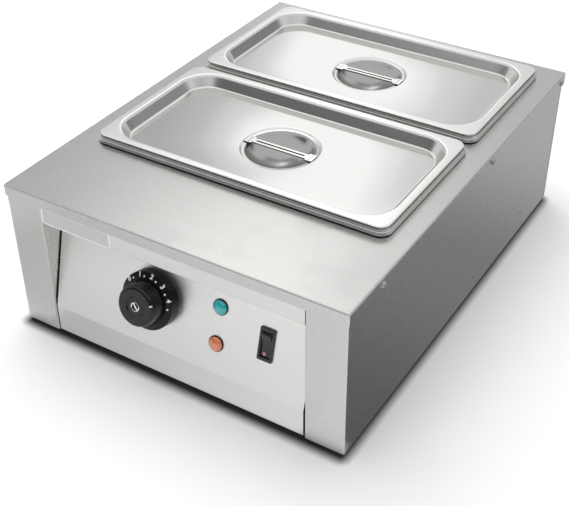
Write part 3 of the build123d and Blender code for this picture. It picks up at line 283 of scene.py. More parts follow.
# Camera
# It stands at the photograph's viewing angle and distance, a little rolled.
camera_azimuth = 0.559040
camera_elevation = 0.635340
camera_roll = -0.0076769
camera_place = (0.49157, -0.83041, 0.71248)
forward = Vector((
    -sin(camera_azimuth) * cos(camera_elevation),
    cos(camera_azimuth) * cos(camera_elevation),
    -sin(camera_elevation),
))
level = Vector((cos(camera_azimuth), sin(camera_azimuth), 0))
upward = level.cross(forward)
right = level * cos(camera_roll) + upward * sin(camera_roll)
above = upward * cos(camera_roll) - level * sin(camera_roll)
lens = bpy.data.cameras.new("camera")
lens.lens = 68.77
lens.sensor_width = 36.0
camera = bpy.data.objects.new("camera", lens)
turn = Matrix((right, above, -forward)).transposed().to_4x4()
camera.matrix_world = Matrix.Translation(camera_place) @ turn
bpy.context.scene.collection.objects.link(camera)
bpy.context.scene.camera = camera
bpy.context.scene.view_settings.view_transform = "Standard"

# Body sheets: side panels, top plate, rear panel, fascia and control panel
# Stainless steel sheet 1 mm thick, cut, folded and screwed together. The mill brushed it
# before folding, so the grain lies level on every face and turns the corners with the sheet.


def dress(finish, *nodes):
    """Gives carried-over CAD nodes their finish."""
    for node in nodes:
        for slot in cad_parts[node].material_slots:
            slot.material = finish


def brushed_steel(name, colour, roughness, grain_length, grain_width, depth):
    """Stainless steel brushed level: fine grooves, faint streaks and a few soft hand marks."""
    finish, tree, place = new_finish(name)
    normal = add_node(tree, "ShaderNodeNewGeometry").outputs["Normal"]
    faces = add_node(tree, "ShaderNodeSeparateXYZ", {0: normal})
    sideways = add_node(tree, "ShaderNodeMath", {0: faces.outputs["X"]}, operation="ABSOLUTE")
    on_side = add_node(
        tree, "ShaderNodeMath", {0: sideways.outputs[0], 1: 0.7}, operation="GREATER_THAN"
    )
    along, across = 1 / grain_length, 1 / grain_width
    front_grain = add_node(
        tree, "ShaderNodeMapping", {"Vector": place, "Scale": (along, across, across)}
    )
    side_grain = add_node(
        tree, "ShaderNodeMapping", {"Vector": place, "Scale": (across, along, across)}
    )
    grain_place = add_node(
        tree, "ShaderNodeMix",
        {0: on_side.outputs[0], 4: front_grain.outputs[0], 5: side_grain.outputs[0]},
        data_type="VECTOR",
    )
    grooves = add_node(
        tree, "ShaderNodeTexNoise",
        {"Vector": grain_place.outputs[1], "Scale": 1.0, "Detail": 3.0, "Roughness": 0.65},
    )
    streaks = add_node(
        tree, "ShaderNodeTexNoise",
        {"Vector": grain_place.outputs[1], "Scale": 0.17, "Detail": 2.0, "Roughness": 0.5},
    )
    marks = add_node(
        tree, "ShaderNodeTexNoise",
        {"Vector": place, "Scale": 1 / (70 * MM), "Detail": 4.0, "Roughness": 0.55},
    )
    shade = [c * 0.97 for c in linear(colour)[:3]] + [1.0]
    tone = add_node(
        tree, "ShaderNodeMix",
        {0: streaks.outputs["Fac"], 6: shade, 7: linear(colour)},
        data_type="RGBA",
    )
    tint = add_node(
        tree, "ShaderNodeMapRange",
        {"Value": grooves.outputs["Fac"], "From Min": 0.3, "From Max": 0.7,
         "To Min": 0.992, "To Max": 1.005},
    )
    toned = add_node(
        tree, "ShaderNodeVectorMath", {0: tone.outputs[2], 1: tint.outputs[0]}, operation="MULTIPLY"
    )
    groove_gloss = add_node(
        tree, "ShaderNodeMapRange",
        {"Value": grooves.outputs["Fac"], "From Min": 0.3, "From Max": 0.7,
         "To Min": roughness - 0.01, "To Max": roughness + 0.01},
    )
    mark_gloss = add_node(
        tree, "ShaderNodeMapRange",
        {"Value": marks.outputs["Fac"], "From Min": 0.52, "From Max": 0.75, "To Max": 0.05},
    )
    gloss = add_node(
        tree, "ShaderNodeMath",
        {0: groove_gloss.outputs[0], 1: mark_gloss.outputs[0]}, operation="ADD",
    )
    # The sheet stretches in the folds and comes out duller there.
    flatness = add_node(tree, "ShaderNodeVectorMath", {0: normal}, operation="ABSOLUTE")
    facing_parts = add_node(tree, "ShaderNodeSeparateXYZ", {0: flatness.outputs[0]})
    lean = add_node(
        tree, "ShaderNodeMath",
        {0: facing_parts.outputs["Y"], 1: facing_parts.outputs["Z"]}, operation="MINIMUM",
    )
    fold = add_node(
        tree, "ShaderNodeMapRange",
        {"Value": lean.outputs[0], "From Min": 0.3, "From Max": 0.5, "To Max": 0.4},
    )
    gloss = add_node(
        tree, "ShaderNodeMath", {0: gloss.outputs[0], 1: fold.outputs[0]}, operation="ADD"
    )
    relief = add_node(
        tree, "ShaderNodeBump",
        {"Height": grooves.outputs["Fac"], "Distance": depth},
    )
    steel = add_node(
        tree, "ShaderNodeBsdfPrincipled",
        {"Base Color": toned.outputs[0], "Metallic": 1.0, "Roughness": gloss.outputs[0],
         "Normal": relief.outputs[0]},
    )
    add_node(tree, "ShaderNodeOutputMaterial", {"Surface": steel.outputs[0]})
    return finish


# Brushed stainless steel, number 4 finish: a soft level sheen. The real grooves are about
# 0.1 mm apart, drawn 0.5 mm apart so that they show close by.
sheet_grain = (80 * MM, 0.5 * MM)
body_steel = brushed_steel(
    "brushed_stainless_steel", "#CECECC", 0.27, *sheet_grain, 0.0002 * MM
)
dress(body_steel, "side_panel_left", "side_panel_right", "top_plate", "rear_panel")
# The same steel with its grain rubbed finer, and its colour painted lighter: painted light on the
# front faces.
panel_steel_painted_lighter = brushed_steel(
    "fine_brushed_steel_painted_lighter", "#E4E4E2", 0.34, *sheet_grain, 0.0004 * MM
)
dress(panel_steel_painted_lighter, "control_panel", "fascia")

# Badge plate
# A thin pressed aluminium plate, stuck on the fascia. Its field is bare and satin, and its raised
# border carries a painted highlight.
badge_length, badge_height, badge_corner = 81.0, 17.5, 3.0
badge_left, badge_low, fascia_front = -142.4, 134.1, -241.9


def rounded_outline(half_x, half_y, corner, long_steps=36, short_steps=8, corner_steps=12):
    """Points of a rounded rectangle, the same count for every size, starting right of centre."""
    points = []
    quarters = (
        (1, 1, 0, short_steps, (0, 1)), (-1, 1, 90, long_steps, (-1, 0)),
        (-1, -1, 180, short_steps, (0, -1)), (1, -1, 270, long_steps, (1, 0)),
    )
    for side_x, side_y, start, steps, heading in quarters:
        centre = (side_x * (half_x - corner), side_y * (half_y - corner))
        length = 2 * (half_y - corner) if heading[0] == 0 else 2 * (half_x - corner)
        begin = radians(start)
        first = (centre[0] + corner * cos(begin), centre[1] + corner * sin(begin))
        for step in range(steps):
            back = length * (1 - step / steps)
            points.append((first[0] - heading[0] * back, first[1] - heading[1] * back))
        for step in range(corner_steps):
            angle = begin + radians(90) * step / corner_steps
            points.append((centre[0] + corner * cos(angle), centre[1] + corner * sin(angle)))
    return points


def formed_mesh(name, form):
    """The mesh of a finished form."""
    mesh = bpy.data.meshes.new(name)
    form.to_mesh(mesh)
    form.free()
    return mesh


def lofted_mesh(name, loops, zones=None):
    """A closed skin through loops of equal length. Each loop is its points and its height."""
    form = bmesh.new()
    rings = [[form.verts.new((x, y, height)) for x, y in points] for points, height in loops]
    for number, (low, high) in enumerate(zip(rings, rings[1:])):
        for step in range(len(low)):
            after = (step + 1) % len(low)
            face = form.faces.new((low[step], low[after], high[after], high[step]))
            face.material_index = zones[number] if zones else 0
    for ring, zone in ((rings[0], 0), (rings[-1], -1)):
        face = form.faces.new(ring)
        face.material_index = zones[zone] if zones else 0
    bmesh.ops.recalc_face_normals(form, faces=form.faces)
    return formed_mesh(name, form)


def smooth(mesh, angle=30.0):
    """Smooth shading that keeps the edges sharper than an angle."""
    mesh.shade_smooth()
    mesh.set_sharp_from_angle(angle=radians(angle))
    return mesh


# Satin aluminium: a plain light grey with a fine level grain.
badge_grain = (30 * MM, 0.6 * MM)
badge_aluminium = brushed_steel("satin_aluminium", "#D6D6D6", 0.34, *badge_grain, 0.004 * MM)
badge_loops = [  # inward from the plate's edge, out from the fascia
    (0.0, 0.02), (0.0, 0.5), (0.25, 0.86), (0.6, 0.9), (1.1, 0.86), (1.4, 0.5), (2.0, 0.46),
]
badge_zones = [1, 1, 1, 1, 1, 0]  # the border's bands, then the field
badge_half_x, badge_half_y = badge_length / 2, badge_height / 2
badge_mesh = lofted_mesh(
    "badge_sheet",
    [(rounded_outline(badge_half_x - inset, badge_half_y - inset, badge_corner - inset), out)
     for inset, out in badge_loops],
    badge_zones,
)
badge_turn = Matrix(((1, 0, 0), (0, 0, -1), (0, 1, 0))).to_4x4()
badge_spot = Vector((badge_left + badge_half_x, fascia_front, badge_low + badge_half_y))
badge_mesh.transform(Matrix.Translation(badge_spot * MM) @ badge_turn @ Matrix.Scale(MM, 4))
badge_sheet = new_piece("badge_sheet", smooth(badge_mesh), badge_aluminium)
# Rubbed aluminium, polished by handling, with its raised border painted pure white as a painted
# highlight.
badge_sheet.data.materials.append(
    brushed_steel("rubbed_aluminium_painted_highlight", "#FFFFFF", 0.28, *badge_grain, 0.0002 * MM)
)
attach(badge_sheet, "body")
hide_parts("badge_plate")

# Inner screws and nuts
# Zinc-plated steel: the nuts of the foot screws and of the earth stud, and the two screws
# that fix the thermostat. They are tightened inside the body.


def plain_metal(name, colour, roughness, grit, depth):
    """A bare or plated metal with a cast or tumbled skin of a real grit size."""
    finish, tree, place = new_finish(name)
    skin = add_node(
        tree, "ShaderNodeTexNoise",
        {"Vector": place, "Scale": 1 / grit, "Detail": 4.0, "Roughness": 0.6},
    )
    dulled = [c * 0.82 for c in linear(colour)[:3]] + [1.0]
    tone = add_node(
        tree, "ShaderNodeMix",
        {0: skin.outputs["Fac"], 6: dulled, 7: linear(colour)}, data_type="RGBA",
    )
    gloss = add_node(
        tree, "ShaderNodeMapRange",
        {"Value": skin.outputs["Fac"], "To Min": roughness - 0.08, "To Max": roughness + 0.08},
    )
    relief = add_node(
        tree, "ShaderNodeBump", {"Height": skin.outputs["Fac"], "Distance": depth}
    )
    metal = add_node(
        tree, "ShaderNodeBsdfPrincipled",
        {"Base Color": tone.outputs[2], "Metallic": 1.0, "Roughness": gloss.outputs[0],
         "Normal": relief.outputs[0]},
    )
    add_node(tree, "ShaderNodeOutputMaterial", {"Surface": metal.outputs[0]})
    return finish


# Zinc-plated steel: bluish grey and semi-bright.
zinc_plate = plain_metal("zinc_plated_steel", "#B9BDC0", 0.30, 1.5 * MM, 0.01 * MM)
dress(zinc_plate, "foot_nuts", "thermostat_screws", "earth_nut")

# Bottom plate, feet and their fixings
# Galvanised sheet with pressed vents on four moulded rubber feet. The foot screws hold it
# to the side panels.


def galvanised_sheet(name, colour, spangle):
    """Hot-dip galvanised steel: flat zinc crystals of slightly different greys."""
    finish, tree, place = new_finish(name)
    crystals = add_node(tree, "ShaderNodeTexVoronoi", {"Vector": place, "Scale": 1 / spangle})
    level = add_node(tree, "ShaderNodeSeparateColor", {0: crystals.outputs["Color"]})
    dulled = [c * 0.78 for c in linear(colour)[:3]] + [1.0]
    tone = add_node(
        tree, "ShaderNodeMix",
        {0: level.outputs[0], 6: dulled, 7: linear(colour)}, data_type="RGBA",
    )
    gloss = add_node(
        tree, "ShaderNodeMapRange", {"Value": level.outputs[1], "To Min": 0.32, "To Max": 0.5}
    )
    relief = add_node(
        tree, "ShaderNodeBump",
        {"Height": crystals.outputs["Distance"], "Strength": 0.4, "Distance": 0.02 * MM},
    )
    zinc = add_node(
        tree, "ShaderNodeBsdfPrincipled",
        {"Base Color": tone.outputs[2], "Metallic": 1.0, "Roughness": gloss.outputs[0],
         "Normal": relief.outputs[0]},
    )
    add_node(tree, "ShaderNodeOutputMaterial", {"Surface": zinc.outputs[0]})
    return finish


# Galvanised steel: dull grey with 9 mm spangles.
galvanised = galvanised_sheet("galvanised_steel", "#B4B8BA", 9 * MM)
dress(
    galvanised, "bottom_plate", "heat_shield", "thermostat_bracket", "bulb_clips", "element_clips"
)


def moulded(name, colour, roughness, grain, depth, coat=0.0, shine=0.5):
    """A moulded plastic or rubber skin with the grain of its mould."""
    finish, tree, place = new_finish(name)
    skin = add_node(
        tree, "ShaderNodeTexNoise",
        {"Vector": place, "Scale": 1 / grain, "Detail": 5.0, "Roughness": 0.6},
    )
    cloud = add_node(
        tree, "ShaderNodeTexNoise", {"Vector": place, "Scale": 1 / (12 * MM), "Detail": 3.0}
    )
    dulled = [c * 0.8 for c in linear(colour)[:3]] + [1.0]
    tone = add_node(
        tree, "ShaderNodeMix",
        {0: cloud.outputs["Fac"], 6: dulled, 7: linear(colour)}, data_type="RGBA",
    )
    gloss = add_node(
        tree, "ShaderNodeMapRange",
        {"Value": skin.outputs["Fac"], "To Min": roughness - 0.05, "To Max": roughness + 0.07},
    )
    relief = add_node(
        tree, "ShaderNodeBump", {"Height": skin.outputs["Fac"], "Distance": depth}
    )
    plastic = add_node(
        tree, "ShaderNodeBsdfPrincipled",
        {"Base Color": tone.outputs[2], "Roughness": gloss.outputs[0], "IOR": 1.5,
         "Specular IOR Level": shine, "Coat Weight": coat, "Coat Roughness": 0.06,
         "Normal": relief.outputs[0]},
    )
    add_node(tree, "ShaderNodeOutputMaterial", {"Surface": plastic.outputs[0]})
    return finish


# Nitrile rubber: soft black with a slight bloom.
foot_rubber = moulded("nitrile_rubber", "#26262A", 0.62, 0.8 * MM, 0.03 * MM)
dress(foot_rubber, "feet")

# Bath: water tank, heating element, glands and clips
# A deep-drawn stainless tank under the deck, with a tubular heater clipped above its floor.
# Brass glands hold the heater's ends in the tank's wall.
# Drawn stainless steel: plain grey and half dull.
tank_steel = plain_metal("drawn_tank_steel", "#A9A9A6", 0.38, 6 * MM, 0.02 * MM)
dress(tank_steel, "water_tank")
# Heater sheath: annealed nickel alloy, browned by heat.
heater_sheath = plain_metal("annealed_heater_sheath", "#7E7468", 0.42, 4 * MM, 0.02 * MM)
dress(heater_sheath, "heating_element")
# Machined brass: warm yellow.
brass = plain_metal("machined_brass", "#C6A15B", 0.26, 1.0 * MM, 0.006 * MM)
dress(brass, "element_glands", "element_gland_nuts", "earth_stud", "terminal_screws")

# Thermostat: body, shaft, and the capillary with its bulb
# A bellows switch in a bakelite case, screwed to a bracket behind the control panel and
# worked by a copper tube that runs to the tank floor.
# Bakelite: dark brown with a slight gloss.
bakelite = moulded("brown_bakelite", "#3A2A22", 0.35, 1.2 * MM, 0.02 * MM)
dress(bakelite, "thermostat")
# Turned steel: mid grey and fairly bright.
spindle_steel = plain_metal("turned_spindle_steel", "#A8A8A6", 0.28, 0.8 * MM, 0.005 * MM)
dress(spindle_steel, "thermostat_shaft")
# Drawn copper: reddish, a little tarnished.
copper = plain_metal("drawn_copper", "#B97B5A", 0.30, 3 * MM, 0.01 * MM)
dress(copper, "capillary")

# Dial
# A moulded black phenolic disc, fixed to the panel under the knob. Its numbers and dots are
# printed in white.
# Black phenolic: deep black with a soft sheen.
dial_black = moulded("black_phenolic", "#0B0B0C", 0.3, 1.2 * MM, 0.012 * MM, shine=0.25)
dress(dial_black, "dial_disc")

panel_lean = radians(15.6)
panel_corner = Vector((0, -241.9, 35.0))
panel_up = Vector((0, sin(panel_lean), cos(panel_lean)))
panel_out = Vector((0, -cos(panel_lean), sin(panel_lean)))


def on_panel(x, up, out, tilt_axis=None, tilt=0.0):
    """The placing matrix, in metres, of a spot on the sloping panel: X right, Y up, Z out."""
    spot = panel_corner + Vector((x, 0, 0)) + panel_up * up + panel_out * out
    turn = Matrix((Vector((1, 0, 0)), panel_up, panel_out)).transposed().to_4x4()
    if tilt_axis:
        turn = turn @ Matrix.Rotation(tilt, 4, tilt_axis)
    return Matrix.Translation(spot * MM) @ turn @ Matrix.Scale(MM, 4)


def turned_mesh(name, profile, segments=96):
    """A mesh turned about Z from (radius, height) points, in mm."""
    form = bmesh.new()
    rings = []
    for radius, height in profile:
        if radius < 1e-6:
            rings.append([form.verts.new((0, 0, height))])
        else:
            rings.append([
                form.verts.new((
                    radius * cos(2 * pi * step / segments),
                    radius * sin(2 * pi * step / segments),
                    height,
                ))
                for step in range(segments)
            ])
    for low, high in zip(rings, rings[1:]):
        for step in range(segments):
            after = (step + 1) % segments
            corners = [
                low[step % len(low)], low[after % len(low)],
                high[after % len(high)], high[step % len(high)],
            ]
            kept = [c for place, c in enumerate(corners) if c not in corners[:place]]
            if len(kept) > 2:
                form.faces.new(kept)
    bmesh.ops.recalc_face_normals(form, faces=form.faces)
    return formed_mesh(name, form)


def numeral_mesh(text, size, thickness):
    """A printed figure as a thin mesh, centred on the origin, in mm."""
    curve = bpy.data.curves.new("figure", "FONT")
    curve.body = text
    curve.size = size
    curve.extrude = thickness
    curve.align_x = "CENTER"
    curve.align_y = "CENTER"
    curve.offset = 0.22  # thickens the strokes
    holder = bpy.data.objects.new("figure", curve)
    bpy.context.scene.collection.objects.link(holder)
    bpy.context.view_layer.update()
    ready = holder.evaluated_get(bpy.context.evaluated_depsgraph_get())
    mesh = bpy.data.meshes.new_from_object(ready)
    bpy.data.objects.remove(holder)
    return mesh


def joined(name, parts):
    """One mesh from several, each with its own placing matrix."""
    form = bmesh.new()
    for mesh, place in parts:
        copy = mesh.copy()
        copy.transform(place)
        form.from_mesh(copy)
        bpy.data.meshes.remove(copy)
    return formed_mesh(name, form)


# White pad-printing ink: flat and slightly chalky.
print_white = moulded("white_printing_ink", "#FFFFFF", 0.5, 0.5 * MM, 0.004 * MM)
dial_x, dial_up = -28.0, 50.0
dial_slope = radians(-25.0)
dial_top, slope_start, slope_drop, slope_width = 13.2, 22.8, 2.7, 5.8
figure_size, ink_half, figure_radius, dot_radius = 6.4, 0.08, 26.0, 24.6


def on_dial(angle, radius):
    """A spot on the dial's sloping face: X across, Y outward, Z out of the face."""
    height = dial_top - max(0.0, radius - slope_start) * slope_drop / slope_width
    return (
        on_panel(dial_x, dial_up, 0)
        @ Matrix.Rotation(radians(angle - 90), 4, "Z")
        @ Matrix.Translation((0, radius, height))
        @ Matrix.Rotation(dial_slope, 4, "X")
    )


figures = [("0", 143), ("1", 112), ("2", 82), ("3", 51), ("4", 20)]
dot_angles = [131, 100, 69, 35, 1]
# radius, height over the dial's face
dot = turned_mesh("dot", [(0, 0.1), (0.85, 0.1), (0.95, 0.0), (0.95, -0.1), (0, -0.1)], 16)
marks = joined("dial_marks", [
    (numeral_mesh(text, figure_size, ink_half), on_dial(angle, figure_radius))
    for text, angle in figures
] + [(dot, on_dial(angle, dot_radius)) for angle in dot_angles])
dial_marks = new_piece("dial_marks", marks, print_white)
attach(dial_marks, "body")

# Knob and its cap
# A glossy phenolic knob pushed on the thermostat's spindle, with a white pointer and a
# slotted bright cap over its bore.
# Glossy phenolic: black with sharp small highlights.
knob_black = moulded(
    "glossy_black_phenolic", "#0E0E10", 0.22, 2.0 * MM, 0.008 * MM, coat=0.15, shine=0.35
)
dress(knob_black, "knob")
# Chrome plate: nearly white and bright.
chrome = plain_metal("bright_chrome_plate", "#FAFAFA", 0.2, 2.0 * MM, 0.003 * MM)
knob_place = on_panel(dial_x, dial_up, 0)
ring = turned_mesh("cap_ring", [  # radius, height over the panel
    (0, 25.9), (4.6, 25.9), (4.9, 26.2), (4.9, 27.9), (4.7, 28.35), (4.2, 28.55), (3.7, 28.35),
    (3.5, 27.9), (3.5, 27.3), (0, 27.3),
], 64)
bar_size, bar_edge, bar_level, bar_angle = (7.2, 1.5, 1.0), 0.25, 27.65, -50.0
bar_form = bmesh.new()
bmesh.ops.create_cube(bar_form, size=1.0)
bmesh.ops.scale(bar_form, vec=bar_size, verts=bar_form.verts)
bmesh.ops.bevel(bar_form, geom=bar_form.edges[:], offset=bar_edge, segments=2, affect="EDGES")
bar = formed_mesh("cap_bar", bar_form)
bar_turn = Matrix.Rotation(radians(bar_angle), 4, "Z")
bar_place = knob_place @ bar_turn @ Matrix.Translation((0, 0, bar_level))
cap_mesh = smooth(joined("knob_cap_ring", [(ring, knob_place), (bar, bar_place)]))
knob_cap_ring = new_piece("knob_cap_ring", cap_mesh, chrome)
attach(knob_cap_ring, "knob")
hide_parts("knob_cap")
# The floor of the cap is black under the bar.
well_radius, well_foot, well_top = 3.45, 27.25, 27.4
well = turned_mesh("cap_well", [
    (0, well_foot), (well_radius, well_foot), (well_radius, well_top), (0, well_top),
], 48)
well.transform(knob_place)
knob_cap_well = new_piece("knob_cap_well", well, dial_black)
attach(knob_cap_well, "knob")
# White paint fills the pointer's groove, from the knob's face over the bend of its edge.
paint_start, bend_start, bend_radius, bend_level = 12.6, 15.8, 3.75, 25.0
paint_half, paint_depth, pointer_angle = 0.85, 0.4, 20.0
pointer_profile = [(paint_start, bend_level + bend_radius)] + [
    (bend_start + bend_radius * sin(radians(turn)), bend_level + bend_radius * cos(radians(turn)))
    for turn in (0, 15, 30, 45, 60)
]
pointer_form = bmesh.new()
rows = [
    [pointer_form.verts.new((reach - drop * 0.5, side * paint_half, height - drop))
     for side, drop in ((-1, 0.0), (1, 0.0), (1, paint_depth), (-1, paint_depth))]
    for reach, height in pointer_profile
]
for low, high in zip(rows, rows[1:]):
    for step in range(4):
        pointer_form.faces.new((low[step], low[(step + 1) % 4], high[(step + 1) % 4], high[step]))
pointer_form.faces.new(rows[0])
pointer_form.faces.new(rows[-1])
bmesh.ops.recalc_face_normals(pointer_form, faces=pointer_form.faces)
pointer_mesh = formed_mesh("pointer_paint", pointer_form)
pointer_mesh.transform(knob_place @ Matrix.Rotation(radians(pointer_angle), 4, "Z"))
pointer_paint = new_piece("pointer_paint", pointer_mesh, print_white)
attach(pointer_paint, "knob")

# Indicator lamps
# Domed lenses of tinted polycarbonate with faceted backs, pressed into black nylon holders
# that nuts hold from behind the panel.


def lamp_plastic(name, colour, deep):
    """Clear tinted polycarbonate with the little prisms of its back showing through."""
    finish, tree, place = new_finish(name)
    prisms = add_node(tree, "ShaderNodeTexVoronoi", {"Vector": place, "Scale": 1 / (1.4 * MM)})
    tone = add_node(
        tree, "ShaderNodeMix",
        {0: prisms.outputs["Distance"], 6: linear(colour), 7: linear(deep)}, data_type="RGBA",
    )
    relief = add_node(
        tree, "ShaderNodeBump",
        {"Height": prisms.outputs["Distance"], "Strength": 0.3, "Distance": 0.03 * MM},
    )
    lens = add_node(
        tree, "ShaderNodeBsdfPrincipled",
        {"Base Color": tone.outputs[2], "Roughness": 0.1, "IOR": 1.58, "Transmission Weight": 0.25,
         "Coat Weight": 1.0, "Coat Roughness": 0.03, "Normal": relief.outputs[0]},
    )
    add_node(tree, "ShaderNodeOutputMaterial", {"Surface": lens.outputs[0]})
    return finish


# Tinted polycarbonate: bright and glassy, a little deeper in colour between its prisms.
teal_lens = lamp_plastic("teal_polycarbonate", "#1ED6DC", "#10AEB8")
orange_lens = lamp_plastic("orange_polycarbonate", "#FFA070", "#F0824C")
dress(teal_lens, "lamp_lens_teal")
dress(orange_lens, "lamp_lens_orange")
# Moulded nylon: near black, half dull.
holder_black = moulded("black_nylon", "#1C1C1E", 0.35, 1.0 * MM, 0.01 * MM)
dress(holder_black, "lamp_holder_teal", "lamp_holder_orange", "lamp_nuts")

# Rocker switch
# A snap-in housing of matt black nylon and a dished rocker that tips on pins in it, with a
# small pink neon window.
# Grained nylon: dark grey and dull, so that the edges stay soft.
switch_black = moulded("fine_grained_black_nylon", "#2C2D2F", 0.42, 0.6 * MM, 0.02 * MM)
dress(switch_black, "switch_housing", "rocker")
rocker_pivot = Vector((96.2, -225.834, 81.388))
rocker_tilt = radians(9.0)
rocker_up = panel_up * cos(rocker_tilt) + panel_out * sin(rocker_tilt)
rocker_out = panel_out * cos(rocker_tilt) - panel_up * sin(rocker_tilt)
window_lean, window_down, window_rise, window_left = (0.274, 0.962), -9.0, 4.86, 1.2
window_out = (rocker_up * window_lean[0] + rocker_out * window_lean[1]).normalized()
window_up = window_out.cross(Vector((1, 0, 0)))
window_spot = (
    rocker_pivot + rocker_up * window_down + rocker_out * window_rise - Vector((window_left, 0, 0))
)
window_turn = Matrix((Vector((1, 0, 0)), window_up, window_out)).transposed().to_4x4()
window_place = Matrix.Translation(window_spot * MM) @ window_turn @ Matrix.Scale(MM, 4)
pane = turned_mesh("neon_window", [  # radius, height over the rocker's face
    (0, 0.42), (0.9, 0.38), (1.5, 0.24), (1.75, 0.02), (1.75, -0.6), (0, -0.6),
], 40)
pane.transform(window_place)
# Pink diffusing acrylic over the neon lamp: it seems lit from inside even when it is off.
neon_pink = lamp_plastic("pink_acrylic", "#FF8FB4", "#F2608E")
neon_window = new_piece("neon_window", smooth(pane), neon_pink)
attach(neon_window, "rocker")

# Supply entry: terminal block, earth stud and cable gland
# Glazed ceramic terminals on the bottom plate and a nylon gland in the rear panel. The
# terminal screws and the earth stud wear the brass of the heater's glands.
# Glazed ceramic: warm white with a wet gloss.
ceramic = moulded("glazed_ceramic", "#E6E2D8", 0.25, 2.0 * MM, 0.01 * MM, coat=0.4)
dress(ceramic, "terminal_block")
# Grey nylon: flat mid grey.
grey_nylon = moulded("grey_nylon", "#6E7276", 0.42, 1.0 * MM, 0.02 * MM)
dress(grey_nylon, "cable_gland", "gland_nut")

# Food pans
# Deep-drawn stainless pans with a rolled rim, satin outside from the press. Each hangs by
# its rim in a cut-out of the top plate.
rim_half_x, rim_half_y, rim_corner, rim_foot = 162.5, 88.0, 12.0, 164.0
shade_band_width, shade_band_low, shade_band_high = 1.6, 1.0, 1.4


def pan_finish(name, colour, painted_shade_colour, middle_y):
    """Drawn steel with a nearly black painted shade, 1.2 mm high, at the foot of the rolled rim on
    its outside.
    """
    finish = plain_metal(name, colour, 0.34, 12 * MM, 0.01 * MM)
    tree = finish.node_tree
    place = add_node(tree, "ShaderNodeTexCoord").outputs["Object"]
    centred = add_node(
        tree, "ShaderNodeVectorMath", {0: place, 1: (0.0, middle_y * MM, 0.0)}, operation="SUBTRACT"
    )
    size = add_node(tree, "ShaderNodeVectorMath", {0: centred.outputs[0]}, operation="ABSOLUTE")
    parts = add_node(tree, "ShaderNodeSeparateXYZ", {0: size.outputs[0]})
    core = ((rim_half_x - rim_corner) * MM, (rim_half_y - rim_corner) * MM, 1.0)
    past_core = add_node(
        tree, "ShaderNodeVectorMath", {0: size.outputs[0], 1: core}, operation="SUBTRACT"
    )
    past_core = add_node(
        tree, "ShaderNodeVectorMath", {0: past_core.outputs[0], 1: (0, 0, 0)}, operation="MAXIMUM"
    )
    reach = add_node(tree, "ShaderNodeVectorMath", {0: past_core.outputs[0]}, operation="LENGTH")
    outside = add_node(
        tree, "ShaderNodeMath",
        {0: reach.outputs["Value"], 1: (rim_corner - shade_band_width) * MM}, operation="GREATER_THAN",
    )
    low = add_node(
        tree, "ShaderNodeMapRange",
        {"Value": parts.outputs["Z"], "From Min": (rim_foot + shade_band_low) * MM,
         "From Max": (rim_foot + shade_band_high) * MM, "To Min": 1.0, "To Max": 0.0},
    )
    painted_shade_mask = add_node(
        tree, "ShaderNodeMath", {0: outside.outputs[0], 1: low.outputs[0]}, operation="MULTIPLY"
    )
    metal = next(node for node in tree.nodes if node.bl_idname == "ShaderNodeBsdfPrincipled")
    toned = add_node(
        tree, "ShaderNodeMix",
        {0: painted_shade_mask.outputs[0], 6: metal.inputs["Base Color"].links[0].from_socket, 7: linear(painted_shade_colour)},
        data_type="RGBA",
    )
    tree.links.new(toned.outputs[2], metal.inputs["Base Color"])
    return finish


# Drawn pan steel: satin grey, with a nearly black painted shade at the foot of the rim.
for pan, middle_y in (("pan_front", -51.0), ("pan_rear", 134.0)):
    dress(pan_finish("drawn_steel_" + pan, "#D6D6D4", "#161616", middle_y), pan)

# Lids and their straps
# Each lid is pressed from one stainless sheet and polished, and mirrors the room with slight
# waves. A grooved strap is welded across its bowl as a handle.


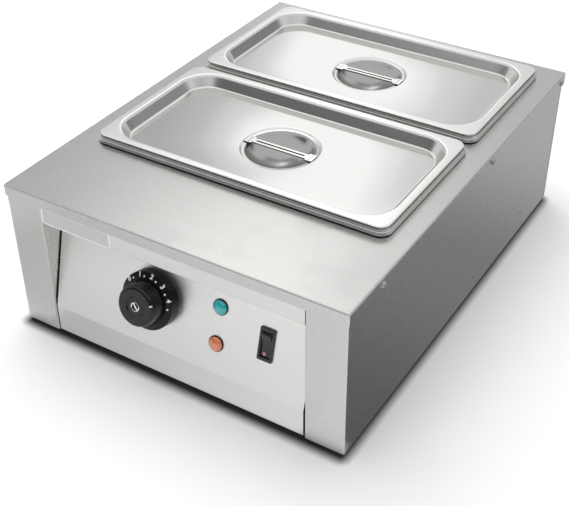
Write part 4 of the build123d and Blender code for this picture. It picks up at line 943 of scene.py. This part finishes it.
def polished_steel(name, border, floor, drawn):
    """Buffed stainless steel of a drawn lid. Each of its levels has its own gloss and its own
    painted tone: painted shade in the bowl and the walls, a painted highlight on the border.
    """
    finish, tree, place = new_finish(name)
    height = add_node(tree, "ShaderNodeSeparateXYZ", {0: place}).outputs["Z"]
    floor_starts, wall_starts, border_starts = (159.6, 160.2), (161.9, 163.5), (172.6, 173.3)

    def blended(kind, values):
        """One value a level, blended upward: the bowl, the floor, the wall, the border."""
        first, second, out = {"RGBA": (6, 7, 2), "FLOAT": (2, 3, 0)}[kind]
        result = values[0]
        for (low, high), value in zip((floor_starts, wall_starts, border_starts), values[1:]):
            above = add_node(
                tree, "ShaderNodeMapRange",
                {"Value": height, "From Min": low * MM, "From Max": high * MM},
                interpolation_type="SMOOTHSTEP",
            )
            step = add_node(
                tree, "ShaderNodeMix", {0: above.outputs[0], first: result, second: value},
                data_type=kind,
            )
            result = step.outputs[out]
        return result

    wave = add_node(
        tree, "ShaderNodeTexNoise", {"Vector": place, "Scale": 1 / (60 * MM), "Detail": 1.0}
    )
    # The buffing wheel leaves faint wipes about 33 mm long and 1 mm wide.
    stretched = add_node(tree, "ShaderNodeMapping", {"Vector": place, "Scale": (30, 900, 900)})
    wipes = add_node(
        tree, "ShaderNodeTexNoise", {"Vector": stretched.outputs[0], "Scale": 1.0, "Detail": 3.0}
    )
    # Painted light: the tone of each level, darker in the bowl and the walls, lighter on the
    # border.
    bright = blended(
        "RGBA", [linear(drawn[0]), linear(floor[0]), linear(drawn[2]), linear(border[0])]
    )
    wiped = add_node(
        tree, "ShaderNodeMapRange", {"Value": wipes.outputs["Fac"], "To Min": 0.97, "To Max": 1.01}
    )
    tone = add_node(
        tree, "ShaderNodeVectorMath", {0: bright, 1: wiped.outputs[0]}, operation="MULTIPLY"
    )
    dull = blended("FLOAT", [drawn[1], floor[1], drawn[3], border[1]])
    spread = add_node(
        tree, "ShaderNodeMapRange",
        {"Value": wipes.outputs["Fac"], "To Min": -0.02, "To Max": 0.03},
    )
    gloss = add_node(tree, "ShaderNodeMath", {0: dull, 1: spread.outputs[0]}, operation="ADD")
    relief = add_node(
        tree, "ShaderNodeBump",
        {"Height": wave.outputs["Fac"], "Distance": 0.05 * MM},
    )
    steel = add_node(
        tree, "ShaderNodeBsdfPrincipled",
        {"Base Color": tone.outputs[0], "Metallic": 1.0, "Roughness": gloss.outputs[0],
         "Normal": relief.outputs[0]},
    )
    add_node(tree, "ShaderNodeOutputMaterial", {"Surface": steel.outputs[0]})
    return finish


# Polished stainless steel: a near mirror on the floor, satin on the border, and duller where the
# press stretched the sheet, in the walls and the bowl. The bowl and the walls are painted darker,
# as painted shade and dark reflections, and the border is painted lighter as a painted highlight.
lid_steel_painted_light = polished_steel(
    "polished_steel_painted_light",
    ("#F6F6F4", 0.26), ("#E2E2E0", 0.08), ("#A8A8A6", 0.2, "#CCCCCA", 0.24),
)
# The folded skirt keeps the dull skin of the press: light grey and satin.
skirt_steel = plain_metal("folded_skirt_steel", "#D4D4D2", 0.32, 12 * MM, 0.004 * MM)
# Painted shade: the crease over the skirt is painted nearly black.
crease_painted_shade = plain_metal("painted_shade_in_the_crease", "#303030", 0.4, 4 * MM, 0.004 * MM)
lid_sheet = 0.8
skirt_half_x, skirt_foot, skirt_lean = 161.5, 169.0, radians(10)
border_corner, half_difference = 12.0, 74.5
recess_half_x, recess_half_y, recess_corner = 151.75, 77.25, 32.0
lip_radius, lip_middle, lip_level = 4.5, 2.6, 169.0
foot_radius, foot_middle, foot_level = 2.5, -8.37, 164.0
lid_skirt = [  # inward from the leaning outer face, height
    (0.0, 169.05), (0.0, 169.5), (0.0, 171.0), (0.12, 171.3), (1.1, 171.55), (1.1, 172.05),
    (0.1, 172.3), (0.1, 172.6), (0.35, 173.1), (0.7, 173.35), (1.2, 173.48), (1.6, 173.5),
]
skirt_zones = [1, 1, 1, 1, 2, 2, 2, 1, 1]  # from the foot up: skirt, crease, skirt
lid_recess = [(3.4, 173.5)] + [  # outward from the recess, height: its lip, then its foot
    (lip_middle - lip_radius * sin(radians(turn)), lip_level + lip_radius * cos(radians(turn)))
    for turn in range(0, 61, 10)
] + [
    (foot_middle + foot_radius * sin(radians(turn)), foot_level - foot_radius * cos(radians(turn)))
    for turn in range(60, -1, -10)
] + [(-9.2, 161.5)]
lid_bowl = [  # radius, height: the stepped seat of the bowl
    (41.2, 161.5), (40.6, 161.46), (40.0, 161.25), (39.6, 160.85), (39.3, 160.4), (38.9, 160.1),
    (38.3, 160.0), (36.4, 160.0), (35.7, 159.9), (35.0, 159.55),
]
bowl_round, bowl_centre = 41.16, 181.66
bowl_radii = [34.3, 33.0, 31, 28, 25, 21, 17, 13, 9, 5, 1]


def lid_mesh(name, middle_y):
    """A drawn lid as one sheet: skirt with its crease, flat border, recess and finger bowl."""
    def outer(inward, height):
        half = skirt_half_x - (height - skirt_foot) * tan(skirt_lean) - inward
        return rounded_outline(half, half - half_difference, border_corner - inward), height

    def inner(outward, height):
        return rounded_outline(
            recess_half_x + outward, recess_half_y + outward, recess_corner + outward
        ), height

    def circle(radius, height):
        return [
            (radius * x / sqrt(x * x + y * y), radius * y / sqrt(x * x + y * y))
            for x, y in rounded_outline(recess_half_x, recess_half_y, recess_corner)
        ], height

    top = [outer(*row) for row in lid_skirt] + [inner(*row) for row in lid_recess]
    top += [circle(*row) for row in lid_bowl]
    top += [circle(r, bowl_centre - sqrt(bowl_round ** 2 - r * r)) for r in bowl_radii]
    under_round = bowl_round + lid_sheet
    under = [circle(r, bowl_centre - sqrt(under_round ** 2 - r * r)) for r in reversed(bowl_radii)]
    under += [circle(35.9, 159.2), circle(40.3, 159.2), circle(40.9, 160.7)]
    under += [inner(-7.9, 160.7), inner(-6.1, 161.5), inner(0.3, 172.1), inner(2.6, 172.7)]
    under += [outer(1.6, 172.7), outer(lid_sheet, 172.0), outer(lid_sheet, 169.05)]
    # Both skins share the lowest edge of the skirt, so the sheet is closed there.
    loops = under + top
    zones = [0] * (len(under) - 1) + skirt_zones + [0] * (len(top) - len(skirt_zones))
    mesh = lofted_mesh(name, loops, zones)
    mesh.transform(Matrix.Scale(MM, 4) @ Matrix.Translation((0, middle_y, 0)))
    return smooth(mesh, 38)


for lid, middle_y in (("lid_front", -51.0), ("lid_rear", 134.0)):
    pressed = new_piece(lid + "_pressing", lid_mesh(lid + "_pressing", middle_y), lid_steel_painted_light)
    pressed.data.materials.append(skirt_steel)
    pressed.data.materials.append(crease_painted_shade)
    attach(pressed, lid)
    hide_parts(lid)


def strap_steel_with_painted_shade(name, colour, dark, top):
    """Bright strap steel, painted dark below its top in the pressed groove and the weld dimples:
    painted shade.
    """
    finish, tree, place = new_finish(name)
    height = add_node(tree, "ShaderNodeSeparateXYZ", {0: place}).outputs["Z"]
    skin = add_node(
        tree, "ShaderNodeTexNoise", {"Vector": place, "Scale": 1 / (3 * MM), "Detail": 3.0}
    )
    low = add_node(
        tree, "ShaderNodeMapRange",
        {"Value": height, "From Min": top - 0.28 * MM, "From Max": top - 0.12 * MM},
    )
    toned = add_node(
        tree, "ShaderNodeMix",
        {0: low.outputs[0], 6: linear(dark), 7: linear(colour)}, data_type="RGBA",
    )
    gloss = add_node(
        tree, "ShaderNodeMapRange", {"Value": skin.outputs["Fac"], "To Min": 0.12, "To Max": 0.2}
    )
    steel = add_node(
        tree, "ShaderNodeBsdfPrincipled",
        {"Base Color": toned.outputs[2], "Metallic": 1.0, "Roughness": gloss.outputs[0]},
    )
    add_node(tree, "ShaderNodeOutputMaterial", {"Surface": steel.outputs[0]})
    return finish


# Tumbled strap steel: bright on top, with painted shade below the top in the groove and the
# dimples.
strap_top = 161.2 * MM
strap_steel = strap_steel_with_painted_shade("strap_steel_painted_shade", "#F4F4F2", "#3A3836", strap_top)
dress(strap_steel, "handle_front", "handle_rear")

# Outer screws
# Zinc-plated pan heads with a cross recess. They hold the top plate's lips, the rear panel
# and the feet, and are driven last.
head_radius, head_rise, rim_rise = 3.6, 2.2, 0.5
shank_radius, shank_length, tip_radius, tip_length = 1.9, 8.0, 1.2, 0.6
recess_half, recess_reach, recess_depth, recess_end = 0.42, 2.0, 0.9, 3.0


def cross_screw_mesh(name):
    """A pan-head screw with its cross recess pressed into the crown, head up, seat at zero."""
    form = bmesh.new()
    segments, rings = 72, []
    for radius in (0.3, 0.6, 0.9, 1.2, 1.5, 1.8, 2.0, 2.2, 2.5, 2.8, 3.1, 3.35, 3.5, head_radius):
        ring = []
        for step in range(segments):
            x = radius * cos(2 * pi * step / segments)
            y = radius * sin(2 * pi * step / segments)
            crown = sqrt(max(0.0, 1 - (radius / head_radius) ** 3))
            height = rim_rise + (head_rise - rim_rise) * crown
            if min(abs(x), abs(y)) < recess_half and radius <= recess_reach:
                height -= recess_depth * (1 - radius / recess_end)
            ring.append(form.verts.new((x, y, height)))
        rings.append(ring)
    for radius, height in (
        (head_radius, 0), (shank_radius, 0),
        (shank_radius, tip_length - shank_length), (tip_radius, -shank_length),
    ):
        rings.append([
            form.verts.new((
                radius * cos(2 * pi * step / segments),
                radius * sin(2 * pi * step / segments),
                height,
            ))
            for step in range(segments)
        ])
    for low, high in zip(rings, rings[1:]):
        for step in range(segments):
            after = (step + 1) % segments
            form.faces.new((low[step], low[after], high[after], high[step]))
    form.faces.new(rings[0])
    form.faces.new(rings[-1])
    bmesh.ops.recalc_face_normals(form, faces=form.faces)
    return formed_mesh(name, form)


screw_groups = {  # where each head sits, and which way it faces
    "lip_screws": [
        ((side * 185.0, y, 156.0), (side, 0, 0))
        for side in (-1, 1) for y in (-186.0, 43.0, 233.0)
    ],
    "rear_screws": [
        ((side * 176.7, 239.0, z), (0, 1, 0))
        for side in (-1, 1) for z in (21.35, 83.35, 145.35)
    ],
    "foot_screws": [
        ((side * 168.7, y, 2.4), (0, 0, -1)) for side in (-1, 1) for y in (-227.7, 222.0)
    ],
}
cross_screw = cross_screw_mesh("cross_screw")
for node, seats in screw_groups.items():
    placings = []
    for number, (seat, outward) in enumerate(seats):
        turn = Vector(outward).to_track_quat("Z", "Y").to_matrix().to_4x4()
        # Each screw stopped at another angle when it was driven.
        spin = Matrix.Rotation(radians(23 * number + 11), 4, "Z")
        placings.append((cross_screw, Matrix.Scale(MM, 4) @ Matrix.Translation(seat) @ turn @ spin))
    driven = new_piece(node + "_driven", smooth(joined(node + "_driven", placings)), zinc_plate)
    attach(driven, "body")
    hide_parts(node)
